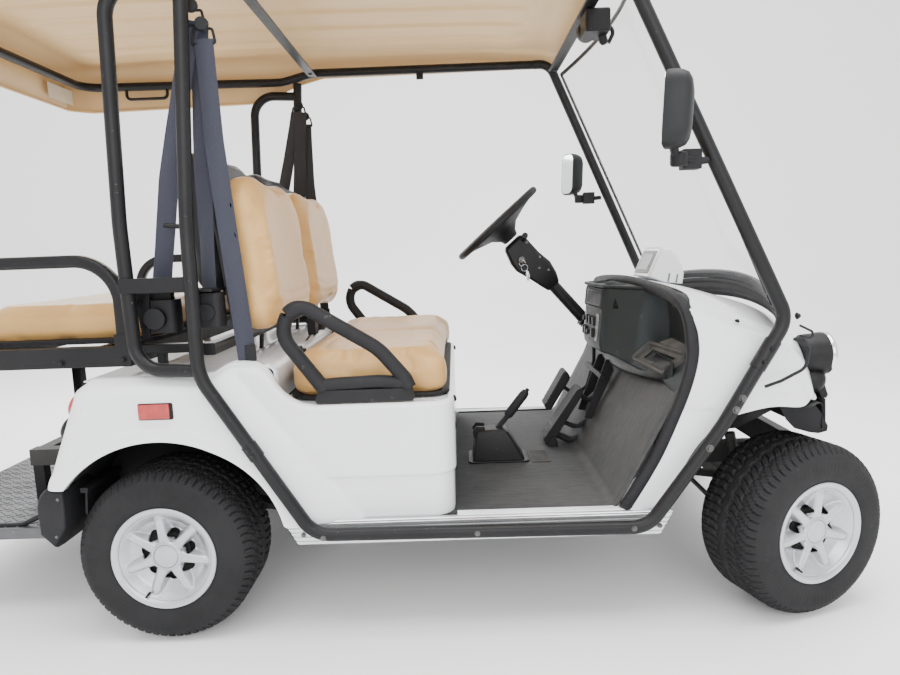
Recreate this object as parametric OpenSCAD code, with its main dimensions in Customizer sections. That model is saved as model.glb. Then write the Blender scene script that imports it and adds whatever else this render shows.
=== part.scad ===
// Four-seat electric golf cart with a roof, a windscreen and a rear-facing bench.
// X runs forward, Y to the left and Z up; the ground is Z = 0. Millimetres.
// Inside the modules X is counted from the rear axle, and cart() moves it to the middle of the cart.

/* [Overall] */
// Distance between the rear axle and the steering kingpins
wheelbase = 1620; // [1500:10:1950]
// Distance from the rear axle back to the rear edge of the canopy
canopy_rear = 765; // [720:5:800]
// Distance from the rear axle back to the rear edge of the footrest
step_rear = 870; // [830:5:960]
// Height of the top of the canopy
roof_h = 1780; // [1740:5:2100]
// Height of the top of the floor
floor_z = 300; // [290:5:330]
// Half of the width of the floor inside the sills
floor_half_w = 528; // [480:4:560]

/* [Wheels] */
// Outer diameter of the tyres
tyre_d = 459; // [420:1:480]
// Width of the tyres
tyre_w = 205; // [180:1:215]
// Radius of the tyre shoulder
tyre_shoulder = 46; // [30:1:50]
// Diameter of the bead seat of the rims
bead_d = 254; // [230:1:270]
// Height of the rim flange above the bead seat
rim_flange = 8; // [5:1:12]
// Spokes in each rim
spokes = 7; // [5:1:9]
// Distance from the centre plane to the middle of a rear wheel
rear_wheel_y = 497.5; // [480:1:520]
// Distance from the centre plane to a steering kingpin
kingpin_y = 390; // [370:1:410]
// Distance from a kingpin out to the middle of its wheel
kingpin_offset = 88.4; // [80:0.2:110]
// Steering angle of the front wheels as parked, to the left
park_steer = 19; // [0:1:25]

/* [Tubes] */
// Outer diameter of the side hoops
hoop_d = 34; // [28:1:40]
// Distance from the centre plane to the straight bar along the sill
bar_y = 600; // [590:1:620]
// Distance from the centre plane to the roof tubes over the doors
roof_tube_y = 520; // [500:1:535]
// Outer diameter of the roof tubes
roof_tube_d = 32; // [26:1:36]
// Side of the square tube of the rear seat frame
seat_tube = 36; // [30:1:50]

/* [Body] */
// Wall thickness of the moulded body panels
panel = 4; // [3:0.5:6]
// Distance from the centre plane to the outside of the rear fenders
fender_y = 602; // [590:1:620]
// Distance from the centre plane to the outside of the seat base
seat_base_y = 545; // [520:1:560]
// Distance from the centre plane to the outside of the front cowl
cowl_y = 551; // [540:1:552]
// Radius of the rear wheel arches
rear_arch_r = 312; // [290:1:330]
// Thickness of the windscreen
screen_t = 5; // [4:0.5:8]
// Sideways bow of the windscreen
screen_bow = 90; // [60:5:120]
// Half of the width of the windscreen
screen_half_w = 494; // [470:1:500]

/* [Seats] */
// Half of the width of the front cushion
cushion_half_w = 490; // [450:5:495]
// Thickness of the front cushion
cushion_t = 105; // [80:5:120]
// Half of the width of the rear cushion
rear_cushion_half_w = 462; // [430:2:470]
// Thickness of the rear cushion
rear_cushion_t = 92; // [70:2:110]

/* [Controls] */
// Outer diameter of the steering wheel
wheel_rim_d = 330; // [300:5:360]
// Thickness of the grip of the steering wheel
grip_d = 26; // [22:1:32]
// Angle between the steering column and the vertical
column_tilt = 41; // [34:1:50]
// Distance from the centre plane to the steering column
column_y = 280; // [250:5:300]
// Diameter of the two cup holders
cup_d = 76; // [66:1:86]
// Depth of the two cup holders
cup_depth = 60; // [40:2:80]

/* [Chassis] */
// Width of the chassis rails
rail_w = 40; // [30:1:50]
// Distance from the centre plane to the middle of a chassis rail
rail_y = 212; // [200:1:215]
// Diameter of the rear axle tube
axle_d = 70; // [60:1:80]
// Diameter of the kingpins
kingpin_d = 22; // [18:1:26]

/* [Hidden] */

$fn = 48;
gap = 1;                       // clearance between pieces that are screwed together
tube_sides = 16;               // sides of a bent tube
bend_step = 14;                // degrees between the rings of a bend
axle_z = tyre_d / 2;
bead_r = bead_d / 2;
tread_half = tyre_w / 2 - tyre_shoulder;
front_reach = wheelbase + kingpin_offset * sin(park_steer) + tyre_shoulder
    + (axle_z - tyre_shoulder) * cos(park_steer) + tread_half * sin(park_steer);
rear_axle_x = -(front_reach - step_rear) / 2;
stretch = wheelbase - 1620;    // what a longer wheelbase adds to the floor
seat_front = 749;              // front face of the seat base
floor_rear = seat_front - 45;  // rear edge of the floor, under the seat base
lid_z = 606;                   // underside of the front cushion
lid_x = 300;                   // rear face of the front cushion
hinge_x = lid_x - 2;           // hinge line of the cushion, level with its upper rear edge
hinge_z = lid_z + cushion_t;
hinge_d = 10;                  // diameter of the two hinge pins
roof_rise = roof_h - 1780;     // what a higher roof adds to the posts
roof_tube_z = 1690 + roof_rise;
rear_tube_y = 560;             // roof tubes behind the doors
screen_tilt = 23.9;            // lean of the windscreen and its pillars
pillar_top = 1164 + stretch - roof_rise * tan(screen_tilt);
waist_y = bar_y - hoop_d / 2 - 5;  // body beside the side hoops
sill_top = floor_z + 2;
sill_drop = 61;                // height of the sills
rail_top = floor_z - 8;        // top of the chassis rails under the floor
rear_frame_z = 768;            // top of the rear seat frame
steer_arm = 64;                // length of a steering arm

// ---- helpers ----

function unit(v) = v / norm(v);
function mirror_y(pts) = [for (p = pts) [p[0], -p[1], p[2]]];

// The same outline, moved inwards by t; the points run anticlockwise.
function inset(pts, t) = [
    for (i = [0 : len(pts) - 1])
        let (
            before = pts[(i + len(pts) - 1) % len(pts)],
            after = pts[(i + 1) % len(pts)],
            u = unit(pts[i] - before),
            v = unit(after - pts[i]),
            n1 = [-u[1], u[0]],
            n2 = [-v[1], v[0]]
        )
        pts[i] + t * (n1 + n2) / (1 + n1 * n2)
];

module cart(colour) {
    color(colour) translate([rear_axle_x, 0, 0]) children();
}

module both_sides() {
    children();
    mirror([0, 1, 0]) children();
}

module rod(a, b, d) {
    v = b - a;
    translate(a) rotate([0, acos(v[2] / norm(v)), atan2(v[1], v[0])]) cylinder(h = norm(v), d = d);
}

// Points round a bend of radius r; b is the corner where the centre lines meet.
function bend_points(a, b, c, r) =
    let (
        u = unit(b - a),
        v = unit(c - b),
        phi = acos(u * v),
        side = unit(v - (u * v) * u),
        centre = b - r * tan(phi / 2) * u + r * side,
        steps = max(2, ceil(phi / bend_step))
    )
    [for (k = [0 : steps]) centre + r * (sin(phi * k / steps) * u - cos(phi * k / steps) * side)];

// The centre line of a tube with a bend radius for each inner point.
function route(pts, r) = concat(
    [pts[0]],
    [for (i = [1 : len(pts) - 2]) each bend_points(pts[i - 1], pts[i], pts[i + 1], r[i - 1])],
    [pts[len(pts) - 1]]
);

function heading(line, i) =
    let (
        last = len(line) - 1,
        u = i == 0 ? line[1] - line[0] : line[i] - line[i - 1],
        v = i == last ? line[last] - line[last - 1] : line[i + 1] - line[i]
    )
    unit(unit(u) + unit(v));

function round_section(d) = [for (k = [0 : tube_sides - 1]) d / 2 * [cos(360 * k / tube_sides), sin(360 * k / tube_sides)]];

function square_section(w, r) = [
    for (q = [0 : 3], k = [0 : 2])
        let (a = 90 * q + 45 * k)
        (w / 2 - r) * [sign_of(cos(90 * q + 45)), sign_of(sin(90 * q + 45))] + r * [cos(a), sin(a)]
];

function sign_of(x) = x < 0 ? -1 : 1;

// A section swept along a centre line; flat is a direction that the section keeps beside it.
module sweep(line, section, flat) {
    n = len(section);
    last = len(line) - 1;
    points = [
        for (i = [0 : last])
            let (
                t = heading(line, i),
                side = unit(flat - (flat * t) * t),
                up = cross(t, side)
            )
            for (q = section) line[i] + q[0] * side + q[1] * up
    ];
    walls = [
        for (i = [0 : last - 1], k = [0 : n - 1])
            let (m = (k + 1) % n)
            each [
                [i * n + k, (i + 1) * n + k, i * n + m],
                [i * n + m, (i + 1) * n + k, (i + 1) * n + m]
            ]
    ];
    caps = [[for (k = [0 : n - 1]) k], [for (k = [n - 1 : -1 : 0]) last * n + k]];
    polyhedron(points = points, faces = concat(walls, caps), convexity = 6);
}

module bent_tube(pts, r, d, flat = [0, 1, 0]) {
    sweep(route(pts, r), round_section(d), flat);
}

// A plate with its outline in X and Z, from y0 to y1.
module side_plate(pts, y0, y1) {
    translate([0, y1, 0]) rotate([90, 0, 0]) linear_extrude(y1 - y0) polygon(pts);
}

module block(x0, x1, y0, y1, z0, z1) {
    translate([x0, y0, z0]) cube([x1 - x0, y1 - y0, z1 - z0]);
}

// A flat slab with rounded corners seen from above.
module rounded_slab(x0, x1, y0, y1, z0, z1, r) {
    translate([0, 0, z0]) linear_extrude(z1 - z0) rounded_rect(x0, x1, y0, y1, r);
}

module rounded_rect(x0, x1, y0, y1, r) {
    translate([x0 + r, y0]) square([x1 - x0 - 2 * r, y1 - y0]);
    translate([x0, y0 + r]) square([x1 - x0, y1 - y0 - 2 * r]);
    for (x = [x0 + r, x1 - r], y = [y0 + r, y1 - r]) translate([x, y]) circle(r);
}

// ---- frame ----

// Centre line of a side hoop on the left: rear door post, sill bar, windscreen pillar.
hoop_path = [
    [160, 566, roof_tube_z - 26], [123, 570, 1065], [132, bar_y, 700], [388, bar_y, 284],
    [1228 + stretch, bar_y, 277], [1417 + stretch, 584, 528], [1572 + stretch, 572, 788],
    [pillar_top, roof_tube_y, roof_tube_z], [pillar_top - 64, roof_tube_y, roof_tube_z]
];
hoop_bends = [900, 150, 80, 80, 500, 70, 60];
// Centre line of a rear hoop on the left, from one joint on the door post to the other.
rear_hoop_path = [
    [150, 568, 1616 + roof_rise], [-20, 570, 1624 + roof_rise], [-38, 570, 1071], [-31, 570, 716],
    [132, bar_y - 8, 712]
];
rear_hoop_bends = [80, 900, 70];

module side_hoop(path) {
    bent_tube(path, hoop_bends, hoop_d);
}

module side_hoop_left() cart("dimgray") side_hoop(hoop_path);
module side_hoop_right() cart("dimgray") side_hoop(mirror_y(hoop_path));

// The rear hoop stops at the door post, and a flat bar joins the two at seat height.
module rear_hoop(side) {
    path = side > 0 ? rear_hoop_path : mirror_y(rear_hoop_path);
    post = side > 0 ? hoop_path : mirror_y(hoop_path);
    difference() {
        union() {
            bent_tube(path, rear_hoop_bends, hoop_d);
            translate([-40, side > 0 ? 560 : -566, 908]) cube([168, 6, 34]);
        }
        bent_tube([for (i = [0 : 4]) post[i]], [for (i = [0 : 2]) hoop_bends[i]], hoop_d + 2 * gap);
    }
}

module rear_hoop_left() cart("dimgray") rear_hoop(1);
module rear_hoop_right() cart("dimgray") rear_hoop(-1);

// Roof tubes: a U round the rear, cross straps and the header over the windscreen.
module roof_frame() {
    rear_x = -canopy_rear + 65;
    strap_t = 5;
    header_x = pillar_top + 12;
    u_path = [
        [pillar_top - 65, roof_tube_y, roof_tube_z], [235, roof_tube_y, roof_tube_z],
        [100, rear_tube_y, roof_tube_z - 20], [rear_x, rear_tube_y, roof_tube_z - 12],
        [rear_x, -rear_tube_y, roof_tube_z - 12], [100, -rear_tube_y, roof_tube_z - 20],
        [235, -roof_tube_y, roof_tube_z], [pillar_top - 65, -roof_tube_y, roof_tube_z]
    ];
    cart("dimgray") {
        difference() {
            bent_tube(u_path, [120, 120, 70, 70, 120, 120], roof_tube_d, [0, 0, 1]);
            both_sides() translate([160, 566, roof_tube_z - 60]) cylinder(h = 60, d = hoop_d + 2 * gap);
        }
        block(216, 250, -roof_tube_y, roof_tube_y, roof_tube_z - roof_tube_d / 2 + 1,
            roof_tube_z - roof_tube_d / 2 + 1 + strap_t);
        rod([header_x - 20, -roof_tube_y + 20, roof_tube_z - 14], [header_x - 20, roof_tube_y - 20, roof_tube_z - 14], 25);
        block(header_x - 18, header_x + 18, -roof_tube_y + 24, roof_tube_y - 24, roof_tube_z - 34, roof_tube_z - 28);
        block(header_x - 10, header_x + 62, -190, -90, roof_tube_z - 110, roof_tube_z - 34);
    }
}

// Two rails that rise over the rear axle, and their cross members.
module chassis_frame() {
    nose = wheelbase + 150;
    rail = [
        [nose, 372], [wheelbase - 300, 372], [wheelbase - 390, rail_top], [310, rail_top], [190, 420],
        [-560, 420], [-560, 370], [160, 370], [285, rail_top - 55], [wheelbase - 360, rail_top - 55],
        [wheelbase - 270, 312], [nose, 312]
    ];
    cart("#222222") {
        both_sides() side_plate([for (i = [len(rail) - 1 : -1 : 0]) rail[i]], rail_y - rail_w / 2, rail_y + rail_w / 2);
        for (x = [-560, -200, 420, 800, wheelbase - 400])
            let (z = x < 0 ? 372 : rail_top - 52)
                block(x, x + 40, -rail_y + rail_w / 2, rail_y - rail_w / 2, z, z + 44);
        for (x = [420, 1080 + stretch])
            both_sides() block(x, x + 40, rail_y + rail_w / 2, floor_half_w - 20, rail_top - 40, rail_top);
        block(nose, nose + 30, -rail_y - 24, rail_y + 24, 300, 384);
    }
}

// ---- floor, sills and body ----

module floor_pan() {
    toe = 1165 + stretch;
    sheet = [
        [floor_rear, floor_z - 6], [toe, floor_z - 6], [toe + 128, 640], [toe + 128, 646], [toe + 122, 646],
        [toe - 2, floor_z], [floor_rear, floor_z]
    ];
    cart("#3b3d40") side_plate(sheet, -floor_half_w, floor_half_w);
}

// Ribbed aluminium sills with slanted ends.
module sills() {
    front_top = 1302 + stretch;
    front_low = 1269 + stretch;
    outline = [[340, sill_top - sill_drop], [front_low, sill_top - sill_drop], [front_top, sill_top], [306, sill_top]];
    cart("silver") both_sides() {
        side_plate(outline, floor_half_w + gap, 566);
        for (i = [0 : 4])
            block(345, front_low - 5, 565, 569, sill_top - 10 - 12 * i, sill_top - 4 - 12 * i);
    }
}

// Outline of the rear body above the sills, and the rounded front corners of the seat base.
rear_outline = [
    [300, sill_top + gap], [seat_front - 18, sill_top + gap], [seat_front, 340], [seat_front, 590],
    [seat_front - 12, 599], [296, 600], [258, 712], [186, 718], [150, 690], [-120, 686], [-156, 676],
    [-190, 650], [-286, 422], [-240, 404]
];

module rear_shell(t, floor_cut) {
    pts = inset(rear_outline, t);
    intersection() {
        side_plate(pts, -seat_base_y + t, seat_base_y - t);
        rounded_slab(-300, seat_front - t, -seat_base_y + t, seat_base_y - t, 100, 800, 60 - t);
    }
    intersection() {
        side_plate(pts, -waist_y + t, waist_y - t);
        rounded_slab(-300, 400 - t, -waist_y + t, waist_y - t, 100, 800, 60 - t);
    }
    intersection() {
        side_plate(pts, -fender_y + t, fender_y - t);
        rounded_slab(-300, 98 - t, -fender_y + t, fender_y - t, 100, 800, 60 - t);
    }
    if (floor_cut) block(-240, seat_front - 30, -seat_base_y + 30, seat_base_y - 30, 250, 420);
}

module rear_body() {
    cart("white") difference() {
        rear_shell(0, false);
        rear_shell(panel, true);
        both_sides() translate([14, 330, axle_z]) rotate([-90, 0, 0]) cylinder(h = 400, r = rear_arch_r);
        block(-400, 320, -310, 310, 200, 500);
        block(320, seat_front - 50, -440, 440, 560, 640);
        both_sides() block(-300, -150, 422, 468, 380, 640);
        both_sides() block(300, seat_front - 80, floor_half_w - 30, floor_half_w - 5, 200, sill_top + 20);
    }
    cart("white") both_sides() for (y = [hinge_y, hinge_y + hinge_w + 10]) hinge_ear(y);
}

hinge_y = 230;                 // inner side of each hinge
hinge_w = 50;                  // length of a hinge pin between its ears

// An ear on the deck behind the cushion that carries a hinge pin.
module hinge_ear(y) {
    difference() {
        union() {
            side_plate([[hinge_x - 42, hinge_z - 8], [hinge_x - 30, hinge_z - 40], [hinge_x, hinge_z - 10],
                [hinge_x, hinge_z + 10], [hinge_x - 30, hinge_z + 6]], y, y + 5);
            translate([hinge_x, y, hinge_z]) rotate([-90, 0, 0]) cylinder(h = 5, d = 2 * hinge_d);
        }
        translate([hinge_x, y - 1, hinge_z]) rotate([-90, 0, 0]) cylinder(h = 7, d = hinge_d + 0.1);
    }
}

// Outline of the white front cowl in X and Z.
cowl_outline = [
    [1235 + stretch, sill_top + gap], [1297 + stretch, sill_top + gap], [1322 + stretch, 388],
    [1372 + stretch, 474], [1446 + stretch, 538], [1543 + stretch, 566], [1640 + stretch, 562],
    [1742 + stretch, 566], [1752 + stretch, 610], [1738 + stretch, 700], [1690 + stretch, 764],
    [1560 + stretch, 812], [1420 + stretch, 852], [1245 + stretch, 898], [1330 + stretch, 836],
    [1384 + stretch, 740], [1384 + stretch, 660], [1318 + stretch, 500]
];

module cowl_block(t) {
    intersection() {
        side_plate(inset(cowl_outline, t), -cowl_y + t, cowl_y - t);
        rounded_slab(900, 1752 + stretch - t, -cowl_y + t, cowl_y - t, 100, 1000, 170 - t);
    }
}

module front_cowl() {
    door = [
        [1100 + stretch, 200], [1205 + stretch, 200], [1330 + stretch, 480], [1400 + stretch, 660],
        [1400 + stretch, 780], [1340 + stretch, 850], [1230 + stretch, 880], [1100 + stretch, 880]
    ];
    cart("white") difference() {
        cowl_block(0);
        cowl_block(panel);
        side_plate(door, -cowl_y + panel + 1, cowl_y - panel - 1);
        block(1200 + stretch, 1700 + stretch, -500, 500, 200, 600);
        both_sides() translate([1600 + stretch, 420, 668]) rotate([0, 90, 0]) cylinder(h = 200, d = 116);
        screen_strip(-90, 30, 20, 7, screen_half_w + 34);
    }
}

// Black splash liners in the four wheel arches.
module wheel_liners() {
    cart("#1c1c1e") both_sides() {
        difference() {
            intersection() {
                translate([14, 330, axle_z]) rotate([-90, 0, 0]) cylinder(h = 220, r = rear_arch_r + 6);
                block(-240, 314, 330, 550, 424, 620);
            }
            translate([14, 320, axle_z]) rotate([-90, 0, 0]) cylinder(h = 240, r = rear_arch_r + 2);
        }
        difference() {
            block(1330 + stretch, 1720 + stretch, 240, 244, 400, 556);
            translate([wheelbase, 230, axle_z + 20]) rotate([-90, 0, 0]) cylinder(h = 40, d = 150);
        }
        block(1716 + stretch, 1720 + stretch, 246, 500, 470, 560);
    }
}

// Dark moulded dash with a shelf, two cup holders and a hood that follows the cowl.
module dashboard() {
    inner = floor_half_w - 10;
    body = [
        [1168 + stretch, 740], [1250 + stretch, 700], [1300 + stretch, 662], [1318 + stretch, 662],
        [1362 + stretch, 690], [1366 + stretch, 760], [1318 + stretch, 828], [1228 + stretch, 872],
        [1168 + stretch, 872]
    ];
    cart("#33373a") {
        difference() {
            side_plate(body, -inner, inner);
            side_plate(inset(body, panel), -inner + panel, inner - panel);
            for (y = [-70, 60]) translate([1218 + stretch, y, 872 - cup_depth]) cylinder(h = 100, d = cup_d);
            steering_axis(-600) cylinder(h = 440, d = 90);
        }
        for (y = [-70, 60])
            difference() {
                translate([1218 + stretch, y, 870 - cup_depth - panel]) cylinder(h = cup_depth + 2, d = cup_d + 2 * panel);
                translate([1218 + stretch, y, 872 - cup_depth]) cylinder(h = 100, d = cup_d);
            }
    }
}

module display_pod() {
    outline = [
        [1340, 884], [1516, 846], [1530, 880], [1500, 930], [1440, 966], [1404, 962]
    ];
    cart("white") side_plate([for (p = outline) [p[0] + stretch, p[1]]], -10, 130);
}

// ---- roof, screen and mirrors ----

module canopy() {
    front = pillar_top + 42;
    top = [
        [front, roof_h - 62], [front - 30, roof_h - 34], [front - 306, roof_h - 10], [250, roof_h],
        [-canopy_rear + 70, roof_h - 12], [-canopy_rear, roof_h - 56]
    ];
    lip = [
        [-canopy_rear, roof_h - 190], [-40, roof_h - 176], [130, roof_h - 120], [260, roof_h - 84],
        [front, roof_h - 80]
    ];
    under = [[-canopy_rear + panel, 1000], [front - panel, 1000]];
    inner_top = [
        for (i = [0 : len(top) - 1])
            [top[i][0] - (i == 0 ? panel : i == len(top) - 1 ? -panel : 0), top[i][1] - panel]
    ];
    cart("tan") difference() {
        intersection() {
            side_plate(concat(lip, top), -610, 610);
            rounded_slab(-canopy_rear, front, -610, 610, 1400, roof_h + 10, 90);
        }
        intersection() {
            side_plate(concat(under, inner_top), -610 + panel, 610 - panel);
            rounded_slab(-canopy_rear + panel, front - panel, -610 + panel, 610 - panel, 900, roof_h + 10, 90 - panel);
        }
    }
}

screen_low = [1648 + stretch, 0, 868];
screen_r = (screen_half_w * screen_half_w + screen_bow * screen_bow) / (2 * screen_bow);

// A strip of the bowed screen surface between two heights along it.
module screen_strip(z0, z1, t, out, half_w) {
    translate(screen_low) rotate([0, -screen_tilt, 0]) translate([0, 0, z0]) linear_extrude(z1 - z0)
        intersection() {
            difference() {
                translate([-screen_r, 0]) circle(screen_r + out, $fn = 180);
                translate([-screen_r, 0]) circle(screen_r + out - t, $fn = 180);
            }
            translate([-400, -half_w]) square([500, 2 * half_w]);
        }
}

module windshield() {
    rise = (roof_tube_z - 8 - screen_low[2]) / cos(screen_tilt);
    cart("lightblue") screen_strip(6, rise, screen_t, 0, screen_half_w);
}

// Black panel between the windscreen and the cowl, with the rubber strip that holds the screen.
module windshield_trim() {
    cart("#26282a") {
        screen_strip(-26, 5, 14, 5, screen_half_w + 30);
        difference() {
            screen_strip(-26, 20, 14, 5, screen_half_w + 30);
            screen_strip(-40, 30, screen_t + 2 * gap, gap, screen_half_w + 40);
        }
        screen_strip(-70, -26, 4, -2, screen_half_w + 20);
    }
}

module mirrors() {
    cart("#2f3134") both_sides() {
        difference() {
            translate([1236 + stretch, 606, 1190]) rotate([0, 0, 8]) rounded_slab(0, 56, 0, 92, 0, 166, 22);
        }
        block(1262 + stretch, 1345 + stretch, 572, 640, 1152, 1189);
    }
}

// ---- inside ----

module steering_axis(z) {
    translate([982 + stretch, column_y, 1010]) rotate([0, -column_tilt, 0]) translate([0, 0, z]) children();
}

rim_rise = 82;                 // from the hub up to the middle of the grip

module steering_wheel() {
    cart("#1a1a1c") steering_axis(0) {
        translate([0, 0, rim_rise]) rotate_extrude() translate([(wheel_rim_d - grip_d) / 2, 0]) circle(d = grip_d);
        translate([0, 0, 6]) cylinder(h = 30, d = 52);
        translate([0, 0, 36]) cylinder(h = 34, d = 84);
        for (a = [90, 210, 330]) rotate([0, 0, a]) translate([36, -15, 54]) cube([wheel_rim_d / 2 - 50, 30, 14]);
        for (a = [90, 210, 330]) rotate([0, 0, a]) translate([wheel_rim_d / 2 - 36, -15, 54]) cube([24, 30, 24]);
    }
}

module steering_column() {
    cart("#232527") steering_axis(0) {
        translate([0, 0, -150]) rounded_slab(-40, 40, -45, 45, 0, 148, 16);
        translate([0, 0, -420]) cylinder(h = 275, d = 44);
    }
}

// Brake pedal, accelerator treadle and their arms.
module pedals() {
    pivot = [1112 + stretch, 340];
    cart("#1d1e20") {
        side_plate([[1020, 470], [1060, 520], [1067, 515], [1027, 465]], 150, 230);
        side_plate([[1045, 492], [1100, 400], [pivot[0], pivot[1] - 20], [pivot[0] + 14, pivot[1] - 8], [1110, 408], [1052, 496]], 180, 200);
        side_plate([[1040, 400], [1105, 470], [1111, 464], [1046, 394]], 20, 100);
        side_plate([[1075, 430], [1100, 380], [pivot[0], pivot[1] - 20], [pivot[0] + 14, pivot[1] - 8], [1112, 388], [1083, 436]], 50, 70);
    }
}

module parking_brake() {
    cart("#1b1c1e") {
        rounded_slab(792, 972, -150, -10, floor_z + 0.5, floor_z + 6, 12);
        side_plate([[805, floor_z + 6], [950, floor_z + 6], [940, 372], [920, 390], [830, 396], [812, 372]], -135, -25);
        rod([880, -80, 380], [1000, -80, 500], 24);
    }
}

module seat_cushion() {
    cart("#d9b27c") {
        rounded_slab(lid_x + 6, seat_front - 8, -cushion_half_w, cushion_half_w, lid_z, lid_z + cushion_t - 25, 60);
        rounded_slab(lid_x + 18, seat_front - 20, -cushion_half_w + 12, cushion_half_w - 12, lid_z, lid_z + cushion_t, 50);
        both_sides() {
            block(lid_x, lid_x + 20, hinge_y + 15, hinge_y + hinge_w - 5, lid_z + 14, lid_z + 60);
            block(hinge_x - 2, hinge_x + 4, hinge_y + 15, hinge_y + hinge_w - 5, lid_z + 14, hinge_z);
            translate([hinge_x, hinge_y - 4, hinge_z]) rotate([-90, 0, 0]) cylinder(h = hinge_w + 23, d = hinge_d);
        }
    }
}

// Two padded lobes, leaning back.
module front_backrest() {
    cart("#d9b27c") for (y = [[-500, -14], [14, 500]])
        translate([206, 0, 770]) rotate([0, -6, 0]) {
            rounded_lobe(0, 85, y[0], y[1], 0, 440, 90);
        }
}

module rounded_lobe(x0, x1, y0, y1, z0, z1, r) {
    translate([x0, 0, 0]) rotate([90, 0, 90]) linear_extrude(x1 - x0) rounded_rect(y0, y1, z0, z1, r);
}

module rear_backrest() {
    cart("#d9b27c") for (y = [[-480, -14], [14, 480]])
        translate([188, 0, 880]) rotate([0, -6, 0]) rounded_lobe(-90, 0, y[0], y[1], 0, 420, 90);
}

module rear_seat_cushion() {
    cart("#d9b27c") {
        rounded_slab(-530, -24, -rear_cushion_half_w, rear_cushion_half_w, rear_frame_z + gap,
            rear_frame_z + rear_cushion_t - 20, 50);
        rounded_slab(-518, -36, -rear_cushion_half_w + 12, rear_cushion_half_w - 12, rear_frame_z + gap,
            rear_frame_z + rear_cushion_t, 40);
    }
}

// Square-tube frame of the rear bench, its legs and its two side rails.
module rear_seat_frame() {
    y = 500;
    z0 = rear_frame_z - 52;
    cart("#2a2b2e") {
        both_sides() {
            block(-560, -70, y - seat_tube / 2, y + seat_tube / 2, z0, rear_frame_z);
            block(-262, -240, 430, 460, 424, z0);
            rail_path = [[-90, y, rear_frame_z - 6], [-90, y, 988], [-520, y, 988], [-520, y, rear_frame_z - 6]];
            sweep(route(rail_path, [110, 110]), square_section(seat_tube - 4, 6), [0, 1, 0]);
        }
        block(-560, -524, -y, y, z0, rear_frame_z);
        block(-106, -70, -y, y, z0, rear_frame_z);
        block(-262, -240, -460, 460, z0, z0 + 30);
        both_sides() block(-262, -240, rail_y - 15, 460, 424, 440);
    }
}

module hip_restraints() {
    arch = [
        [632, 528, 640], [580, 528, 726], [370, 528, 858], [318, 528, 800], [420, 528, 640]
    ];
    cart("#1b1c1e") both_sides() {
        bent_tube(arch, [120, 50, 60], 38);
        block(400, 650, 512, 538, 606, 648);
    }
}

// Folded tread-plate step behind the rear bench, on two brackets.
module footrest() {
    front = -345;
    rear = -step_rear;
    cart("#6d6f72") {
        block(rear, front, -455, 455, 258, 262);
        both_sides() block(rear, front, 451, 455, 236, 262);
        block(rear, rear + 4, -455, 455, 236, 262);
        both_sides() block(-556, -524, rail_y - 16, rail_y + 16, 261, 369);
    }
}

module rear_bumper() {
    corner = [[-296, 300], [-262, 262], [-230, 330], [-236, 402], [-290, 414], [-306, 396]];
    cart("#222325") {
        both_sides() side_plate(corner, 470, 600);
        block(-306, -296, -600, 600, 300, 362);
    }
}

module lamps() {
    cart("#dddddd") {
        both_sides() translate([1668 + stretch, 420, 668]) rotate([0, 90, 0]) cylinder(h = 78, d = 112);
        both_sides() block(-22, 62, fender_y + 0.5, fender_y + 10, 596, 636);
        both_sides() translate([-300, 520, 560]) rotate([0, 74, 0]) cylinder(h = 40, d = 76);
    }
}

// Centre lines of the webbing on the left: rear seat, then up and down for the front seat.
belt_paths = [
    [[158, 528, 1540], [70, 520, 1180], [14, 500, 892]],
    [[178, 522, 1540], [150, 505, 1200], [138, 500, 902]],
    [[188, 536, 1500], [196, 520, 1250], [222, 506, 730]]
];
strap_section = [[-24, -1.2], [24, -1.2], [24, 1.2], [-24, 1.2]];

// Retractors beside the seats and the webbing up to the roof tubes.
module seat_belts() {
    cart("#3c4258") both_sides() {
        block(-38, 60, 470, 530, 800, 890);
        block(110, 176, 480, 540, 812, 900);
        for (path = belt_paths) sweep(route(path, [300]), strap_section, [1, 0, 0]);
    }
}

module battery_block() {
    cart("#555555") block(345, floor_rear - 6, -190, 190, rail_top, 560);
}

// ---- running gear ----

module rear_axle() {
    hub = rear_wheel_y - 40;
    cart("#3a3a3c") {
        translate([0, -hub, axle_z]) rotate([-90, 0, 0]) cylinder(h = 2 * hub, d = axle_d);
        translate([0, -60, axle_z]) rotate([-90, 0, 0]) cylinder(h = 120, d = 190);
        rounded_slab(60, 300, -90, 90, axle_z - 80, axle_z + 60, 20);
        both_sides() side_plate([[-292, 344], [-280, 362], [-60, axle_z + 40], [60, axle_z + 40], [270, 214], [290, 220],
            [62, axle_z + 62], [-62, axle_z + 62], [-276, 368], [-292, 368]], 255, 300);
    }
}

module front_axle() {
    eye = kingpin_y;
    cart("#3a3a3c") difference() {
        union() {
            block(wheelbase - 25, wheelbase + 25, -eye, eye, axle_z - 20, axle_z + 20);
            both_sides() translate([wheelbase, eye, axle_z - 20]) cylinder(h = 40, d = 50);
            both_sides() side_plate([[wheelbase - 260, 300], [wheelbase - 30, axle_z + 20], [wheelbase + 30, axle_z + 20],
                [wheelbase + 130, 300], [wheelbase + 130, 308], [wheelbase + 28, axle_z + 34], [wheelbase - 28, axle_z + 34],
                [wheelbase - 260, 308]], 196, 228);
        }
        both_sides() translate([wheelbase, eye, axle_z - 60]) cylinder(h = 120, d = kingpin_d + 0.2);
    }
}

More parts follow.
